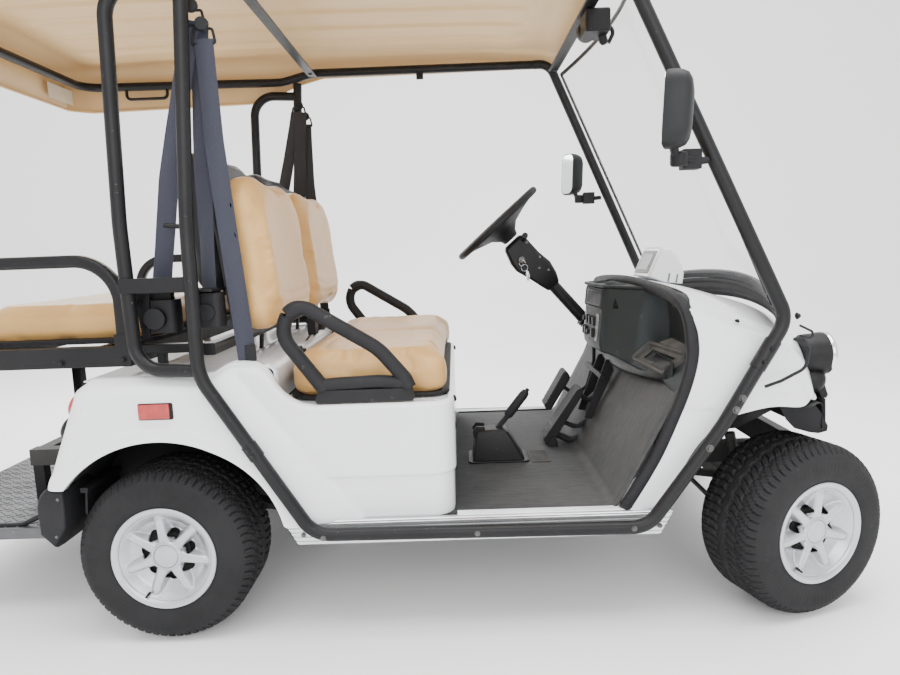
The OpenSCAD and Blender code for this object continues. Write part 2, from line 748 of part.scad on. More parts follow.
// A steering knuckle: fork, kingpin, stub axle and steering arm.
module front_knuckle(side) {
    cart("#48484a") translate([wheelbase, side * kingpin_y, axle_z]) rotate([0, 0, park_steer]) scale([1, side, 1]) {
        cylinder(h = 124, d = kingpin_d, center = true);
        for (z = [-48, 24]) {
            translate([0, 0, z]) cylinder(h = 24, d = 50);
            translate([-20, 0, z]) cube([40, 54, 24]);
        }
        translate([-20, 34, -48]) cube([40, 20, 96]);
        translate([0, 54, 0]) rotate([-90, 0, 0]) cylinder(h = kingpin_offset - 4, d = 34);
        translate([-steer_arm, -10, -48]) cube([steer_arm, 20, 12]);
        translate([-steer_arm, 0, -48]) cylinder(h = 12, d = 26);
    }
}

module knuckle_left() front_knuckle(1);
module knuckle_right() front_knuckle(-1);

module tie_rod() {
    cart("#48484a") translate([wheelbase, 0, 0]) {
        x = -steer_arm * cos(park_steer);
        y = -steer_arm * sin(park_steer);
        z = axle_z - 62;
        rod([x, y - kingpin_y, z], [x, y + kingpin_y, z], 16);
    }
}

module tyre_section() {
    side_y = tyre_w / 2;
    difference() {
        union() {
            translate([bead_r, -side_y]) square([axle_z - tyre_shoulder - bead_r, tyre_w]);
            translate([bead_r, -tread_half]) square([axle_z - bead_r, 2 * tread_half]);
            for (y = [-tread_half, tread_half]) translate([axle_z - tyre_shoulder, y]) circle(tyre_shoulder);
        }
        for (y = [-side_y - 1, side_y - 7]) translate([bead_r - 1, y]) square([rim_flange + 2, 8]);
        translate([0, -side_y - 1]) square([bead_r, tyre_w + 2]);
    }
}

module tyre() {
    color("#2b2b2d") rotate([90, 0, 0]) rotate_extrude($fn = 96) tyre_section();
}

// Rim of a left wheel: barrel, flanges, spokes and hub.
module rim() {
    half = tyre_w / 2;
    barrel = 9;
    face = half - 7;
    color("silver") rotate([90, 0, 0]) {
        difference() {
            rotate_extrude($fn = 96) {
                translate([bead_r - barrel, -face]) square([barrel - 0.3, 2 * face]);
                for (y = [-half + 0.5, half - 6.5]) translate([bead_r - barrel, y]) square([barrel + rim_flange, 6]);
            }
        }
        translate([0, 0, -face]) cylinder(h = 24, d = 78);
        for (i = [0 : spokes - 1]) rotate([0, 0, i * 360 / spokes]) translate([30, -13, -face + 2])
            cube([bead_r - 34, 26, 16]);
        difference() {
            translate([0, 0, -face + 30]) cylinder(h = 8, r = bead_r - barrel + 1);
            for (i = [0 : spokes - 1]) rotate([0, 0, (i + 0.5) * 360 / spokes]) translate([80, 0, -face]) cylinder(h = 60, d = 38);
        }
        translate([0, 0, -face + 20]) cylinder(h = 14, d = 76);
    }
}

// A wheel place: the outer side of the rim faces away from the cart.
module rear_wheel(side) {
    translate([rear_axle_x, side * rear_wheel_y, axle_z]) rotate([0, 0, side > 0 ? 0 : 180]) children();
}

module front_wheel(side) {
    translate([rear_axle_x + wheelbase, side * kingpin_y, axle_z]) rotate([0, 0, park_steer])
        translate([0, side * kingpin_offset, 0]) rotate([0, 0, side > 0 ? 0 : 180]) children();
}

module tyre_front_left() front_wheel(1) tyre();
module tyre_front_right() front_wheel(-1) tyre();
module tyre_rear_left() rear_wheel(1) tyre();
module tyre_rear_right() rear_wheel(-1) tyre();
module rim_front_left() front_wheel(1) rim();
module rim_front_right() front_wheel(-1) rim();
module rim_rear_left() rear_wheel(1) rim();
module rim_rear_right() rear_wheel(-1) rim();

chassis_frame();
floor_pan();
sills();
side_hoop_left();
side_hoop_right();
rear_hoop_left();
rear_hoop_right();
roof_frame();
canopy();
windshield();
windshield_trim();
front_cowl();
wheel_liners();
dashboard();
display_pod();
steering_column();
steering_wheel();
pedals();
parking_brake();
rear_body();
seat_cushion();
front_backrest();
rear_backrest();
rear_seat_cushion();
rear_seat_frame();
hip_restraints();
footrest();
rear_bumper();
lamps();
seat_belts();
battery_block();
rear_axle();
front_axle();
knuckle_left();
knuckle_right();
tie_rod();
mirrors();
tyre_front_left();
tyre_front_right();
tyre_rear_left();
tyre_rear_right();
rim_front_left();
rim_front_right();
rim_rear_left();
rim_rear_right();
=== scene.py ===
import math
import bpy
import bmesh
import numpy as np
from mathutils import Matrix, Vector


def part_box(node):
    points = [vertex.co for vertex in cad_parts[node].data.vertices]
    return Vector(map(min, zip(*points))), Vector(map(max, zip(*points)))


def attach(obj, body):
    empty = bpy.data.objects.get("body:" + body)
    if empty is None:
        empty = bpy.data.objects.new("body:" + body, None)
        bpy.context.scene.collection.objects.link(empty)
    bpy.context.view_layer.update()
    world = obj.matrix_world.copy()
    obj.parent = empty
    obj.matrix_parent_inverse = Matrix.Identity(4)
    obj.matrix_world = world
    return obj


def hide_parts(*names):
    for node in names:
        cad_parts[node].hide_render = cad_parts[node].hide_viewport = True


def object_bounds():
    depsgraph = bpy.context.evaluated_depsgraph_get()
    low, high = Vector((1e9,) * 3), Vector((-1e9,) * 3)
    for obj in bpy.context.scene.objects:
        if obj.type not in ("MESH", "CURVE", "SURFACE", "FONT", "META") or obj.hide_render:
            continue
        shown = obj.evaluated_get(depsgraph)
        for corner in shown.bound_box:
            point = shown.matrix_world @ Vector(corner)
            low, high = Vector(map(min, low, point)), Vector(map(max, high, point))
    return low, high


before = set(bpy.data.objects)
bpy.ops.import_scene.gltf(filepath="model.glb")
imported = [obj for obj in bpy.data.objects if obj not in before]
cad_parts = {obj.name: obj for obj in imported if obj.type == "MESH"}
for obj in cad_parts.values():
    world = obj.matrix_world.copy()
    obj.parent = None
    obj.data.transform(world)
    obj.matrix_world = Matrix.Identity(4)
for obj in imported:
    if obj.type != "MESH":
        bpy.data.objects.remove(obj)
cad_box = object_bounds()
MM = 0.001
lo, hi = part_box("tyre_rear_left")
AXLE_X = (lo.x + hi.x) / 2          # the rear axle in the row frame
PARK = math.radians(19)             # steering angle of the front wheels as parked
WB = 1620.0
WHEEL_Z = 229.5                     # height of the wheel centres, a tyre's radius
KINGPIN_Y = 390
REAR_WHEEL_Y = 497.5


def P(p):
    """A point in millimetres, X from the rear axle, to metres in the row frame."""
    return Vector((p[0] * MM + AXLE_X, p[1] * MM, p[2] * MM))


# ---------------------------------------------------------------- camera, floor, light

def camera():
    yaw, pitch, roll = (math.radians(a) for a in (0.65, 7.75, -2.07))
    z = Vector((0, 0, 1))
    right = Vector((math.cos(yaw), math.sin(yaw), 0))
    ahead = Vector((-math.sin(yaw), math.cos(yaw), 0))
    fwd = ahead * math.cos(pitch) - z * math.sin(pitch)
    up = z * math.cos(pitch) + ahead * math.sin(pitch)
    r = right * math.cos(roll) + up * math.sin(roll)
    u = up * math.cos(roll) - right * math.sin(roll)
    data = bpy.data.cameras.new("camera")
    data.sensor_width = 36
    data.lens = 25.96
    cam = bpy.data.objects.new("camera", data)
    bpy.context.scene.collection.objects.link(cam)
    at = P((766.8, -2152.2, 985))
    cam.matrix_world = Matrix(((r.x, u.x, -fwd.x, at.x), (r.y, u.y, -fwd.y, at.y),
                               (r.z, u.z, -fwd.z, at.z), (0, 0, 0, 1)))
    bpy.context.scene.camera = cam


def area_light(name, where, target, size, power, color=(1, 1, 1)):
    data = bpy.data.lights.new(name, "AREA")
    data.shape = "RECTANGLE"
    data.size, data.size_y = size
    data.energy = power
    data.color = color
    o = bpy.data.objects.new(name, data)
    bpy.context.scene.collection.objects.link(o)
    o.location = where
    o.rotation_euler = (Vector(target) - Vector(where)).to_track_quat("-Z", "Y").to_euler()
    return o


# ---------------------------------------------------------------- materials

def new_material(name):
    m = bpy.data.materials.new(name)
    m.use_nodes = True
    nt = m.node_tree
    nt.nodes.clear()
    out = nt.nodes.new("ShaderNodeOutputMaterial")
    b = nt.nodes.new("ShaderNodeBsdfPrincipled")
    nt.links.new(b.outputs[0], out.inputs[0])
    return m, nt, b


def noise(nt, scale, detail=4, rough=0.55, stretch=None, kind="ShaderNodeTexNoise"):
    tc = nt.nodes.new("ShaderNodeTexCoord")
    src = tc.outputs["Object"]
    if stretch:
        mp = nt.nodes.new("ShaderNodeMapping")
        mp.inputs["Scale"].default_value = stretch
        nt.links.new(src, mp.inputs[0])
        src = mp.outputs[0]
    n = nt.nodes.new(kind)
    n.inputs["Scale"].default_value = scale
    if kind == "ShaderNodeTexNoise":
        n.inputs["Detail"].default_value = detail
        n.inputs["Roughness"].default_value = rough
    nt.links.new(src, n.inputs["Vector"])
    return n


def ramp(nt, src, stops):
    r = nt.nodes.new("ShaderNodeValToRGB")
    e = r.color_ramp.elements
    while len(e) < len(stops):
        e.new(0.5)
    for el, (pos, col) in zip(e, stops):
        el.position = pos
        el.color = (*col, 1) if len(col) == 3 else col
    nt.links.new(src, r.inputs[0])
    return r.outputs[0]


def grey(v):
    return (v, v, v)


def finish(name, color, rough=0.5, metal=0.0, dark=None, patch=3.0, grain=500.0, bump=0.15, depth=0.0004,
           spread=0.08, coat=0.0, coat_rough=0.1, sheen=0.0, spec=0.5, cells=False, stretch=None, scuff=0.0,
           scuff_color=None, scuff_scale=40.0):
    """A procedural finish: patchy colour, uneven roughness, fine grain and, if wanted, pale scuffs."""
    m, nt, b = new_material(name)
    dark = dark or tuple(c * 0.82 for c in color)
    big = noise(nt, patch, 5)
    col = ramp(nt, big.outputs[0], [(0.3, dark), (0.62, color)])
    if scuff:
        n = noise(nt, scuff_scale, 8, 0.7)
        mask = ramp(nt, n.outputs[0], [(0.66 - scuff * 0.1, grey(0)), (0.74 - scuff * 0.1, grey(1))])
        mix = nt.nodes.new("ShaderNodeMixRGB")
        mix.inputs[2].default_value = (*(scuff_color or tuple(min(1, c * 2 + 0.08) for c in color)), 1)
        nt.links.new(mask, mix.inputs[0])
        nt.links.new(col, mix.inputs[1])
        col = mix.outputs[0]
    nt.links.new(col, b.inputs["Base Color"])
    rn = noise(nt, patch * 9, 4)
    rr = nt.nodes.new("ShaderNodeMapRange")
    rr.inputs["To Min"].default_value = max(0.02, rough - spread)
    rr.inputs["To Max"].default_value = min(1, rough + spread)
    nt.links.new(rn.outputs[0], rr.inputs[0])
    nt.links.new(rr.outputs[0], b.inputs["Roughness"])
    fine = noise(nt, grain, 3, stretch=stretch, kind="ShaderNodeTexVoronoi" if cells else "ShaderNodeTexNoise")
    bp = nt.nodes.new("ShaderNodeBump")
    bp.inputs["Strength"].default_value = bump
    bp.inputs["Distance"].default_value = depth
    nt.links.new(fine.outputs[0], bp.inputs["Height"])
    nt.links.new(bp.outputs[0], b.inputs["Normal"])
    b.inputs["Metallic"].default_value = metal
    b.inputs["Coat Weight"].default_value = coat
    b.inputs["Coat Roughness"].default_value = coat_rough
    b.inputs["Sheen Weight"].default_value = sheen
    # dark finishes reflect less, so that the bright studio doesn't turn them grey
    is_dark = max(color) <= 0.1 and not metal
    b.inputs["Specular IOR Level"].default_value = spec * 0.45 if is_dark else spec
    return m


def clear_material(name, color, alpha, rough=0.04, scratch=300.0):
    m, nt, b = new_material(name)
    n = noise(nt, scratch, 6, 0.7, stretch=(1, 1, 0.06))
    rr = nt.nodes.new("ShaderNodeMapRange")
    rr.inputs["To Min"].default_value = rough
    rr.inputs["To Max"].default_value = rough + 0.06
    nt.links.new(n.outputs[0], rr.inputs[0])
    nt.links.new(rr.outputs[0], b.inputs["Roughness"])
    col = ramp(nt, noise(nt, 2.0, 3).outputs[0], [(0.3, tuple(c * 0.96 for c in color)), (0.7, color)])
    nt.links.new(col, b.inputs["Base Color"])
    b.inputs["Alpha"].default_value = alpha
    b.inputs["Specular IOR Level"].default_value = 0.6
    return m


def webbing_material(name, color):
    """Woven straps: fine ribs along the strap and small checks across them."""
    m, nt, b = new_material(name)
    w = noise(nt, 420, 2, stretch=(1, 1, 2.2), kind="ShaderNodeTexVoronoi")
    col = ramp(nt, w.outputs[0], [(0.1, tuple(c * 0.55 for c in color)), (0.6, color)])
    nt.links.new(col, b.inputs["Base Color"])
    bp = nt.nodes.new("ShaderNodeBump")
    bp.inputs["Strength"].default_value = 0.6
    bp.inputs["Distance"].default_value = 0.0006
    nt.links.new(w.outputs[0], bp.inputs["Height"])
    nt.links.new(bp.outputs[0], b.inputs["Normal"])
    b.inputs["Roughness"].default_value = 0.85
    b.inputs["Sheen Weight"].default_value = 0.12
    return m


def mat_material(name):
    """Ribbed rubber matting: the rib height that drives the bump also paints the hollows darker (painted shade) and the
    rib tops lighter (painted highlight), with pale dust in large patches.
    """
    m, nt, b = new_material(name)
    ribs = noise(nt, 55, 4, 0.6, stretch=(0.45, 6.0, 0.45))
    dust = noise(nt, 2.2, 6, 0.7)
    # painted shade and highlight: colour keyed to the rib height, dark in the hollows and light on the tops
    col = ramp(nt, ribs.outputs[0], [(0.34, (0.016, 0.0165, 0.018)), (0.58, (0.036, 0.037, 0.039)),
                                     (0.8, (0.07, 0.07, 0.07))])
    mask = ramp(nt, dust.outputs[0], [(0.45, grey(0)), (0.75, grey(0.35))])
    mix = nt.nodes.new("ShaderNodeMixRGB")
    mix.inputs[2].default_value = (0.10, 0.096, 0.088, 1)
    nt.links.new(mask, mix.inputs[0])
    nt.links.new(col, mix.inputs[1])
    nt.links.new(mix.outputs[0], b.inputs["Base Color"])
    bp = nt.nodes.new("ShaderNodeBump")
    bp.inputs["Strength"].default_value = 0.7
    bp.inputs["Distance"].default_value = 0.0015
    nt.links.new(ribs.outputs[0], bp.inputs["Height"])
    nt.links.new(bp.outputs[0], b.inputs["Normal"])
    b.inputs["Roughness"].default_value = 0.72
    return m


M = {
    "white": finish("body_white", (0.83, 0.845, 0.865), 0.24, dark=(0.79, 0.805, 0.825), patch=1.6, grain=90,
                    bump=0.04, depth=0.0004, coat=0.4, coat_rough=0.06, scuff=0.1, scuff_color=(0.62, 0.62, 0.62),
                    scuff_scale=160),
    "tan_roof": finish("roof_tan", (0.72, 0.50, 0.25), 0.48, dark=(0.65, 0.44, 0.215), patch=1.4, grain=380, bump=0.12,
                       depth=0.0005, scuff=0.08, scuff_color=(0.62, 0.50, 0.34), scuff_scale=22),
    "vinyl": finish("tan_vinyl", (0.62, 0.36, 0.12), 0.40, dark=(0.52, 0.29, 0.09), patch=5, grain=620, bump=0.35,
                    depth=0.0006, cells=True, sheen=0.1, scuff=0.12, scuff_color=(0.50, 0.35, 0.19), scuff_scale=9),
    "tube": finish("black_tube", (0.011, 0.011, 0.012), 0.38, dark=(0.007, 0.007, 0.008), patch=6, grain=260, bump=0.18,
                   depth=0.0004, scuff=0.15, scuff_color=(0.13, 0.13, 0.13), scuff_scale=120),
    "black": finish("black_plastic", (0.010, 0.010, 0.011), 0.46, dark=(0.007, 0.007, 0.0075), patch=6, grain=900,
                    bump=0.25, depth=0.0003, scuff=0.1, scuff_color=(0.07, 0.07, 0.07), scuff_scale=60),
    "soft_black": finish("soft_black", (0.014, 0.014, 0.016), 0.58, dark=(0.010, 0.010, 0.011), patch=8, grain=1100,
                         bump=0.3, depth=0.0003, scuff=0.15, scuff_color=(0.09, 0.085, 0.08), scuff_scale=45),
    "dash": finish("dash_plastic", (0.022, 0.028, 0.029), 0.52, dark=(0.015, 0.019, 0.020), patch=5, grain=850,
                   bump=0.35, depth=0.0004, scuff=0.15, scuff_color=(0.10, 0.10, 0.098), scuff_scale=30),
    "dusty": finish("dusty_plastic", (0.085, 0.081, 0.076), 0.7, dark=(0.040, 0.040, 0.040), patch=14, grain=700,
                    bump=0.3, depth=0.0004),
    "switch": finish("switch_panel", (0.22, 0.225, 0.23), 0.45, dark=(0.16, 0.165, 0.17), patch=20, grain=900,
                     bump=0.15),
    "shell": finish("seat_shell", (0.030, 0.032, 0.036), 0.46, dark=(0.022, 0.024, 0.027), patch=4, grain=800, bump=0.3,
                    depth=0.0004),
    "mirror_shell": finish("mirror_shell", (0.016, 0.017, 0.018), 0.55, dark=(0.011, 0.012, 0.013), patch=6, grain=900,
                           bump=0.35, depth=0.0004),
    "tyre": finish("tyre_rubber", (0.015, 0.015, 0.016), 0.72, dark=(0.009, 0.009, 0.010), patch=9, grain=420,
                   bump=0.35, depth=0.0006, scuff=0.15, scuff_color=(0.05, 0.047, 0.044), scuff_scale=70),
    "rim": finish("rim_silver", (0.50, 0.51, 0.53), 0.33, metal=0.75, dark=(0.42, 0.43, 0.45), patch=9, grain=300,
                  bump=0.08, depth=0.0003, coat=0.3, scuff=0.12, scuff_color=(0.42, 0.42, 0.43), scuff_scale=120),
    "alloy": finish("ribbed_aluminium", (0.70, 0.71, 0.72), 0.33, metal=0.85, dark=(0.55, 0.56, 0.57), patch=5,
                    grain=160, bump=0.2, depth=0.0004, stretch=(0.05, 1, 1), scuff=0.2,
                    scuff_color=(0.42, 0.42, 0.42), scuff_scale=50),
    "plate": finish("tread_plate", (0.105, 0.107, 0.112), 0.42, metal=0.6, dark=(0.06, 0.061, 0.064), patch=7,
                    grain=240, bump=0.2, depth=0.0004, scuff=0.3, scuff_color=(0.30, 0.30, 0.30), scuff_scale=60),
    "steel": finish("axle_steel", (0.038, 0.037, 0.036), 0.62, metal=0.3, dark=(0.024, 0.023, 0.022), patch=12,
                    grain=180, bump=0.4, depth=0.0008, scuff=0.25, scuff_color=(0.13, 0.085, 0.05), scuff_scale=35),
    "bolt": finish("bolt_zinc", (0.12, 0.12, 0.12), 0.4, metal=0.7, dark=(0.07, 0.066, 0.062), patch=60, grain=500,
                   bump=0.2, scuff=0.3, scuff_color=(0.12, 0.08, 0.05), scuff_scale=200),
    "chrome": finish("chrome", (0.80, 0.82, 0.84), 0.10, metal=1.0, dark=(0.72, 0.74, 0.76), patch=20, grain=500,
                     bump=0.03, spread=0.04),
    "red": finish("red_lens", (0.42, 0.030, 0.022), 0.22, dark=(0.30, 0.015, 0.012), patch=40, grain=420, bump=0.5,
                  depth=0.0008, cells=True, coat=0.5),
    "glass": clear_material("clear_screen", (0.90, 0.92, 0.93), 0.13),
    "lens": clear_material("lamp_lens", (0.86, 0.88, 0.90), 0.42, 0.05, 120),
    "mirror": finish("mirror_glass", (0.80, 0.83, 0.84), 0.05, metal=1.0, dark=(0.76, 0.79, 0.80), patch=4, grain=200,
                     bump=0.01, spread=0.02),
    "lcd": finish("display_glass", (0.030, 0.055, 0.048), 0.30, dark=(0.022, 0.044, 0.038), patch=30, grain=900,
                  bump=0.03, coat=0.5),
    "bezel": finish("display_bezel", (0.16, 0.17, 0.17), 0.4, dark=(0.12, 0.13, 0.13), patch=20, grain=900, bump=0.1),
    "battery": finish("battery_case", (0.05, 0.05, 0.052), 0.6, dark=(0.03, 0.03, 0.032), patch=6, grain=500, bump=0.3),
    "belt": webbing_material("belt_blue", (0.030, 0.032, 0.050)),
    "belt_black": webbing_material("belt_black", (0.020, 0.020, 0.024)),
    "mat": mat_material("floor_mat"),
    "sign": finish("sticker_blank", (0.72, 0.66, 0.52), 0.4, dark=(0.68, 0.61, 0.47), patch=30, grain=300, bump=0.03),
}

# ---------------------------------------------------------------- mesh helpers (all in mm, X from the rear axle)


def net(rows, cols, stride, turned=False):
    """Quads of an open net whose points are listed row by row, a stride apart."""
    if turned:
        return [(i * stride + j, i * stride + j + 1, (i + 1) * stride + j + 1, (i + 1) * stride + j)
                for i in range(rows) for j in range(cols)]
    return [(i * stride + j, (i + 1) * stride + j, (i + 1) * stride + j + 1, i * stride + j + 1)
            for i in range(rows) for j in range(cols)]


def ring_net(rows, n):
    """Quads between closed rings of n points."""
    return [(i * n + j, i * n + (j + 1) % n, (i + 1) * n + (j + 1) % n, (i + 1) * n + j)
            for i in range(rows) for j in range(n)]


class Shape:
    """Vertices in millimetres and faces, gathered before they become one piece."""

    def __init__(self):
        self.v, self.f = [], []

    def add(self, verts, faces):
        n = len(self.v)
        self.v += [tuple(float(c) for c in p) for p in verts]
        self.f += [tuple(i + n for i in f) for f in faces]
        return self

    def join(self, other):
        return self.add(other.v, other.f)

    def mirror(self):
        """The same shape and its mirror image in the centre plane."""
        n = len(self.v)
        self.v += [(x, -y, z) for x, y, z in self.v[:n]]
        self.f += [tuple(i + n for i in reversed(f)) for f in self.f[:]]
        return self

    def flipped(self):
        self.v = [(x, -y, z) for x, y, z in self.v]
        self.f = [tuple(reversed(f)) for f in self.f]
        return self


def piece(name, shape, mat, body="root", nodes=(), bevel=0.0, segs=2, sub=0, angle=38, thick=0.0, merge=True):
    me = bpy.data.meshes.new(name)
    me.from_pydata([P(p) for p in shape.v], [], shape.f)
    bm = bmesh.new()
    bm.from_mesh(me)
    if merge:
        bmesh.ops.remove_doubles(bm, verts=bm.verts, dist=0.00002)
    if not thick:
        bmesh.ops.recalc_face_normals(bm, faces=bm.faces)
    bm.to_mesh(me)
    bm.free()
    me.materials.append(M[mat])
    for p in me.polygons:
        p.use_smooth = True
    o = bpy.data.objects.new(name, me)
    bpy.context.scene.collection.objects.link(o)
    if thick:
        s = o.modifiers.new("thick", "SOLIDIFY")
        s.thickness = abs(thick) * MM
        s.offset = -1 if thick > 0 else 1
    if bevel:
        b = o.modifiers.new("bevel", "BEVEL")
        b.width = bevel * MM
        b.segments = segs
        b.limit_method = "ANGLE"
        b.angle_limit = math.radians(angle)
        b.harden_normals = True
    elif not sub:
        me.set_sharp_from_angle(angle=math.radians(angle))
    if sub:
        s = o.modifiers.new("sub", "SUBSURF")
        s.levels = s.render_levels = sub
    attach(o, body)
    if nodes:
        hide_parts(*nodes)
    return o


def unit(v):
    v = np.asarray(v, float)
    return v / np.linalg.norm(v)


def fillet(pts, radii, step=9):
    pts = [np.asarray(p, float) for p in pts]
    line = [pts[0]]
    for i in range(1, len(pts) - 1):
        a, b, c = pts[i - 1], pts[i], pts[i + 1]
        u, v = unit(b - a), unit(c - b)
        phi = math.acos(max(-1, min(1, float(u @ v))))
        r = radii[i - 1] if hasattr(radii, "__len__") else radii
        if phi < 0.01 or r <= 0:
            line.append(b)
            continue
        r = min(r, 0.98 * min(np.linalg.norm(b - a), np.linalg.norm(c - b)) / math.tan(phi / 2))
        side = unit(v - (u @ v) * u)
        centre = b - r * math.tan(phi / 2) * u + r * side
        n = max(2, math.ceil(math.degrees(phi) / step))
        line += [centre + r * (math.sin(phi * k / n) * u - math.cos(phi * k / n) * side) for k in range(n + 1)]
    line.append(pts[-1])
    return line


def sweep(line, section, flat=(0, 1, 0), closed=False, caps=True, scale=None):
    """A closed section swept along a line; flat is the direction that the section keeps beside it."""
    line = [np.asarray(p, float) for p in line]
    n, k = len(line), len(section)
    verts = []
    for i, p in enumerate(line):
        a = line[i - 1] if (i or closed) else line[0]
        b = line[(i + 1) % n] if (i < n - 1 or closed) else line[-1]
        t = unit(unit(p - a) + unit(b - p)) if (closed or 0 < i < n - 1) else unit(b - a)
        side = unit(np.asarray(flat, float) - (np.asarray(flat, float) @ t) * t)
        up = np.cross(t, side)
        s = scale[i] if scale is not None else 1
        sx, sy = s if hasattr(s, "__len__") else (s, s)
        verts += [p + q[0] * sx * side + q[1] * sy * up for q in section]
    faces = []
    for i in range(n if closed else n - 1):
        j = (i + 1) % n
        faces += [(i * k + m, i * k + (m + 1) % k, j * k + (m + 1) % k, j * k + m) for m in range(k)]
    if caps and not closed:
        faces += [tuple(range(k - 1, -1, -1)), tuple((n - 1) * k + m for m in range(k))]
    return verts, faces


def ring(d, n=20):
    return [(d / 2 * math.cos(2 * math.pi * k / n), d / 2 * math.sin(2 * math.pi * k / n)) for k in range(n)]


def box_section(w, h, r=3, n=3):
    out = []
    for q, (sx, sy) in enumerate(((1, 1), (-1, 1), (-1, -1), (1, -1))):
        for k in range(n + 1):
            a = math.radians(90 * q + 90 * k / n)
            out.append((sx * (w / 2 - r) + r * math.cos(a), sy * (h / 2 - r) + r * math.sin(a)))
    return out


def tube(pts, radii, d, flat=(0, 1, 0), n=20, step=7):
    return sweep(fillet(pts, radii, step), ring(d, n), flat)


def prism(outline, y0, y1):
    """An XZ outline between two Y planes."""
    n = len(outline)
    v = [(x, y0, z) for x, z in outline] + [(x, y1, z) for x, z in outline]
    f = [tuple(range(n)), tuple(range(2 * n - 1, n - 1, -1))]
    f += [(i, i + n, (i + 1) % n + n, (i + 1) % n) for i in range(n)]
    return v, f


def slab(outline, z0, z1):
    """An XY outline between two heights."""
    n = len(outline)
    v = [(x, y, z0) for x, y in outline] + [(x, y, z1) for x, y in outline]
    f = [tuple(range(n - 1, -1, -1)), tuple(range(n, 2 * n))]
    f += [(i, (i + 1) % n, (i + 1) % n + n, i + n) for i in range(n)]
    return v, f


def block(x0, x1, y0, y1, z0, z1):
    return slab([(x0, y0), (x1, y0), (x1, y1), (x0, y1)], z0, z1)


def rounded(x0, x1, y0, y1, r, n=6):
    out = []
    for q, (cx, cy) in enumerate(((x1 - r, y1 - r), (x0 + r, y1 - r), (x0 + r, y0 + r), (x1 - r, y0 + r))):
        for k in range(n + 1):
            a = math.radians(90 * q + 90 * k / n)
            out.append((cx + r * math.cos(a), cy + r * math.sin(a)))
    return out


def frame_of(axis, flat=(0, 0, 1)):
    w = unit(axis)
    f = np.asarray(flat, float)
    if abs(f @ w) > 0.95:
        f = np.array((1.0, 0, 0))
    u = unit(f - (f @ w) * w)
    return u, np.cross(w, u), w


def lathe(profile, at, axis, n=32, flat=(0, 0, 1)):
    """Profile points are (radius, height along the axis)."""
    u, v, w = frame_of(axis, flat)
    at = np.asarray(at, float)
    verts, faces, k = [], [], len(profile)
    for i in range(n):
        a = 2 * math.pi * i / n
        d = math.cos(a) * u + math.sin(a) * v
        verts += [at + r * d + h * w for r, h in profile]
    for i in range(n):
        j = (i + 1) % n
        faces += [(i * k + m, j * k + m, j * k + m + 1, i * k + m + 1) for m in range(k - 1)]
    if profile[0][0] > 0.01:
        faces.append(tuple(i * k for i in range(n - 1, -1, -1)))
    if profile[-1][0] > 0.01:
        faces.append(tuple(i * k + k - 1 for i in range(n)))
    return verts, faces


def bolt(at, axis, d=12, h=6, sides=6):
    """A bolt head on a washer."""
    s = Shape().add(*lathe([(0.0, 0), (d * 0.72, 0), (d * 0.72, 1.6), (d * 0.5, 1.7)], at, axis, 18))
    s.add(*lathe([(0.0, 1.5), (d * 0.5, 1.5), (d * 0.5, h * 0.8), (d * 0.42, h), (0.0, h)], at, axis, sides))
    return s


def grid(fn, nu, nv, close_u=False):
    verts = [fn(i / (nu if close_u else nu - 1), j / (nv - 1)) for i in range(nu) for j in range(nv)]
    faces = []
    for i in range(nu if close_u else nu - 1):
        k = (i + 1) % nu
        faces += [(i * nv + j, k * nv + j, k * nv + j + 1, i * nv + j + 1) for j in range(nv - 1)]
    return verts, faces


def curve_at(pts, t):
    """A point at share t of a smooth line through pts (Catmull-Rom)."""
    pts = [np.asarray(p, float) for p in pts]
    n = len(pts) - 1
    x = min(max(t, 0), 1) * n
    i = min(int(x), n - 1)
    s = x - i
    p1, p2 = pts[i], pts[i + 1]
    p0 = pts[i - 1] if i else 2 * p1 - p2
    p3 = pts[i + 2] if i < n - 1 else 2 * p2 - p1
    return 0.5 * (2 * p1 + (p2 - p0) * s + (2 * p0 - 5 * p1 + 4 * p2 - p3) * s ** 2 + (3 * p1 - p0 - 3 * p2 + p3)
                  * s ** 3)


def table(pts, x):
    return float(np.interp(x, [p[0] for p in pts], [p[1] for p in pts]))


def smooth(t):
    t = min(max(t, 0.0), 1.0)
    return t * t * (3 - 2 * t)


def keep(node, mat):
    """A CAD node that stays, with a better material."""
    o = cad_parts[node]
    o.data.materials.clear()
    o.data.materials.append(M[mat])


camera()

# ---------------------------------------------------------------- wheels

TYRE_R, TYRE_HALF, SHOULDER, BEAD = WHEEL_Z, 102.5, 46.0, 127.0
SIPES = 66


def tyre_profile():
    """(radius, side position, share of tread) from one bead to the other."""
    out = [(BEAD, -96.0, 0), (BEAD + 4, -99, 0), (BEAD + 9, -97, 0), (BEAD + 13, -99.5, 0), (BEAD + 22, -101.5, 0),
           (BEAD + 36, -102.5, 0), (BEAD + 50, -102.3, 0)]
    for k in range(1, 9):
        a = math.radians(90 * k / 9)
        out.append((TYRE_R - SHOULDER + SHOULDER * math.sin(a), -(TYRE_HALF - SHOULDER) - SHOULDER * math.cos(a), 1))
    flat = TYRE_HALF - SHOULDER
    n = 26
    out += [(TYRE_R, -flat + 2 * flat * k / n, 1) for k in range(n + 1)]
    return out + [(r, -y, t) for r, y, t in reversed(out[:15])]


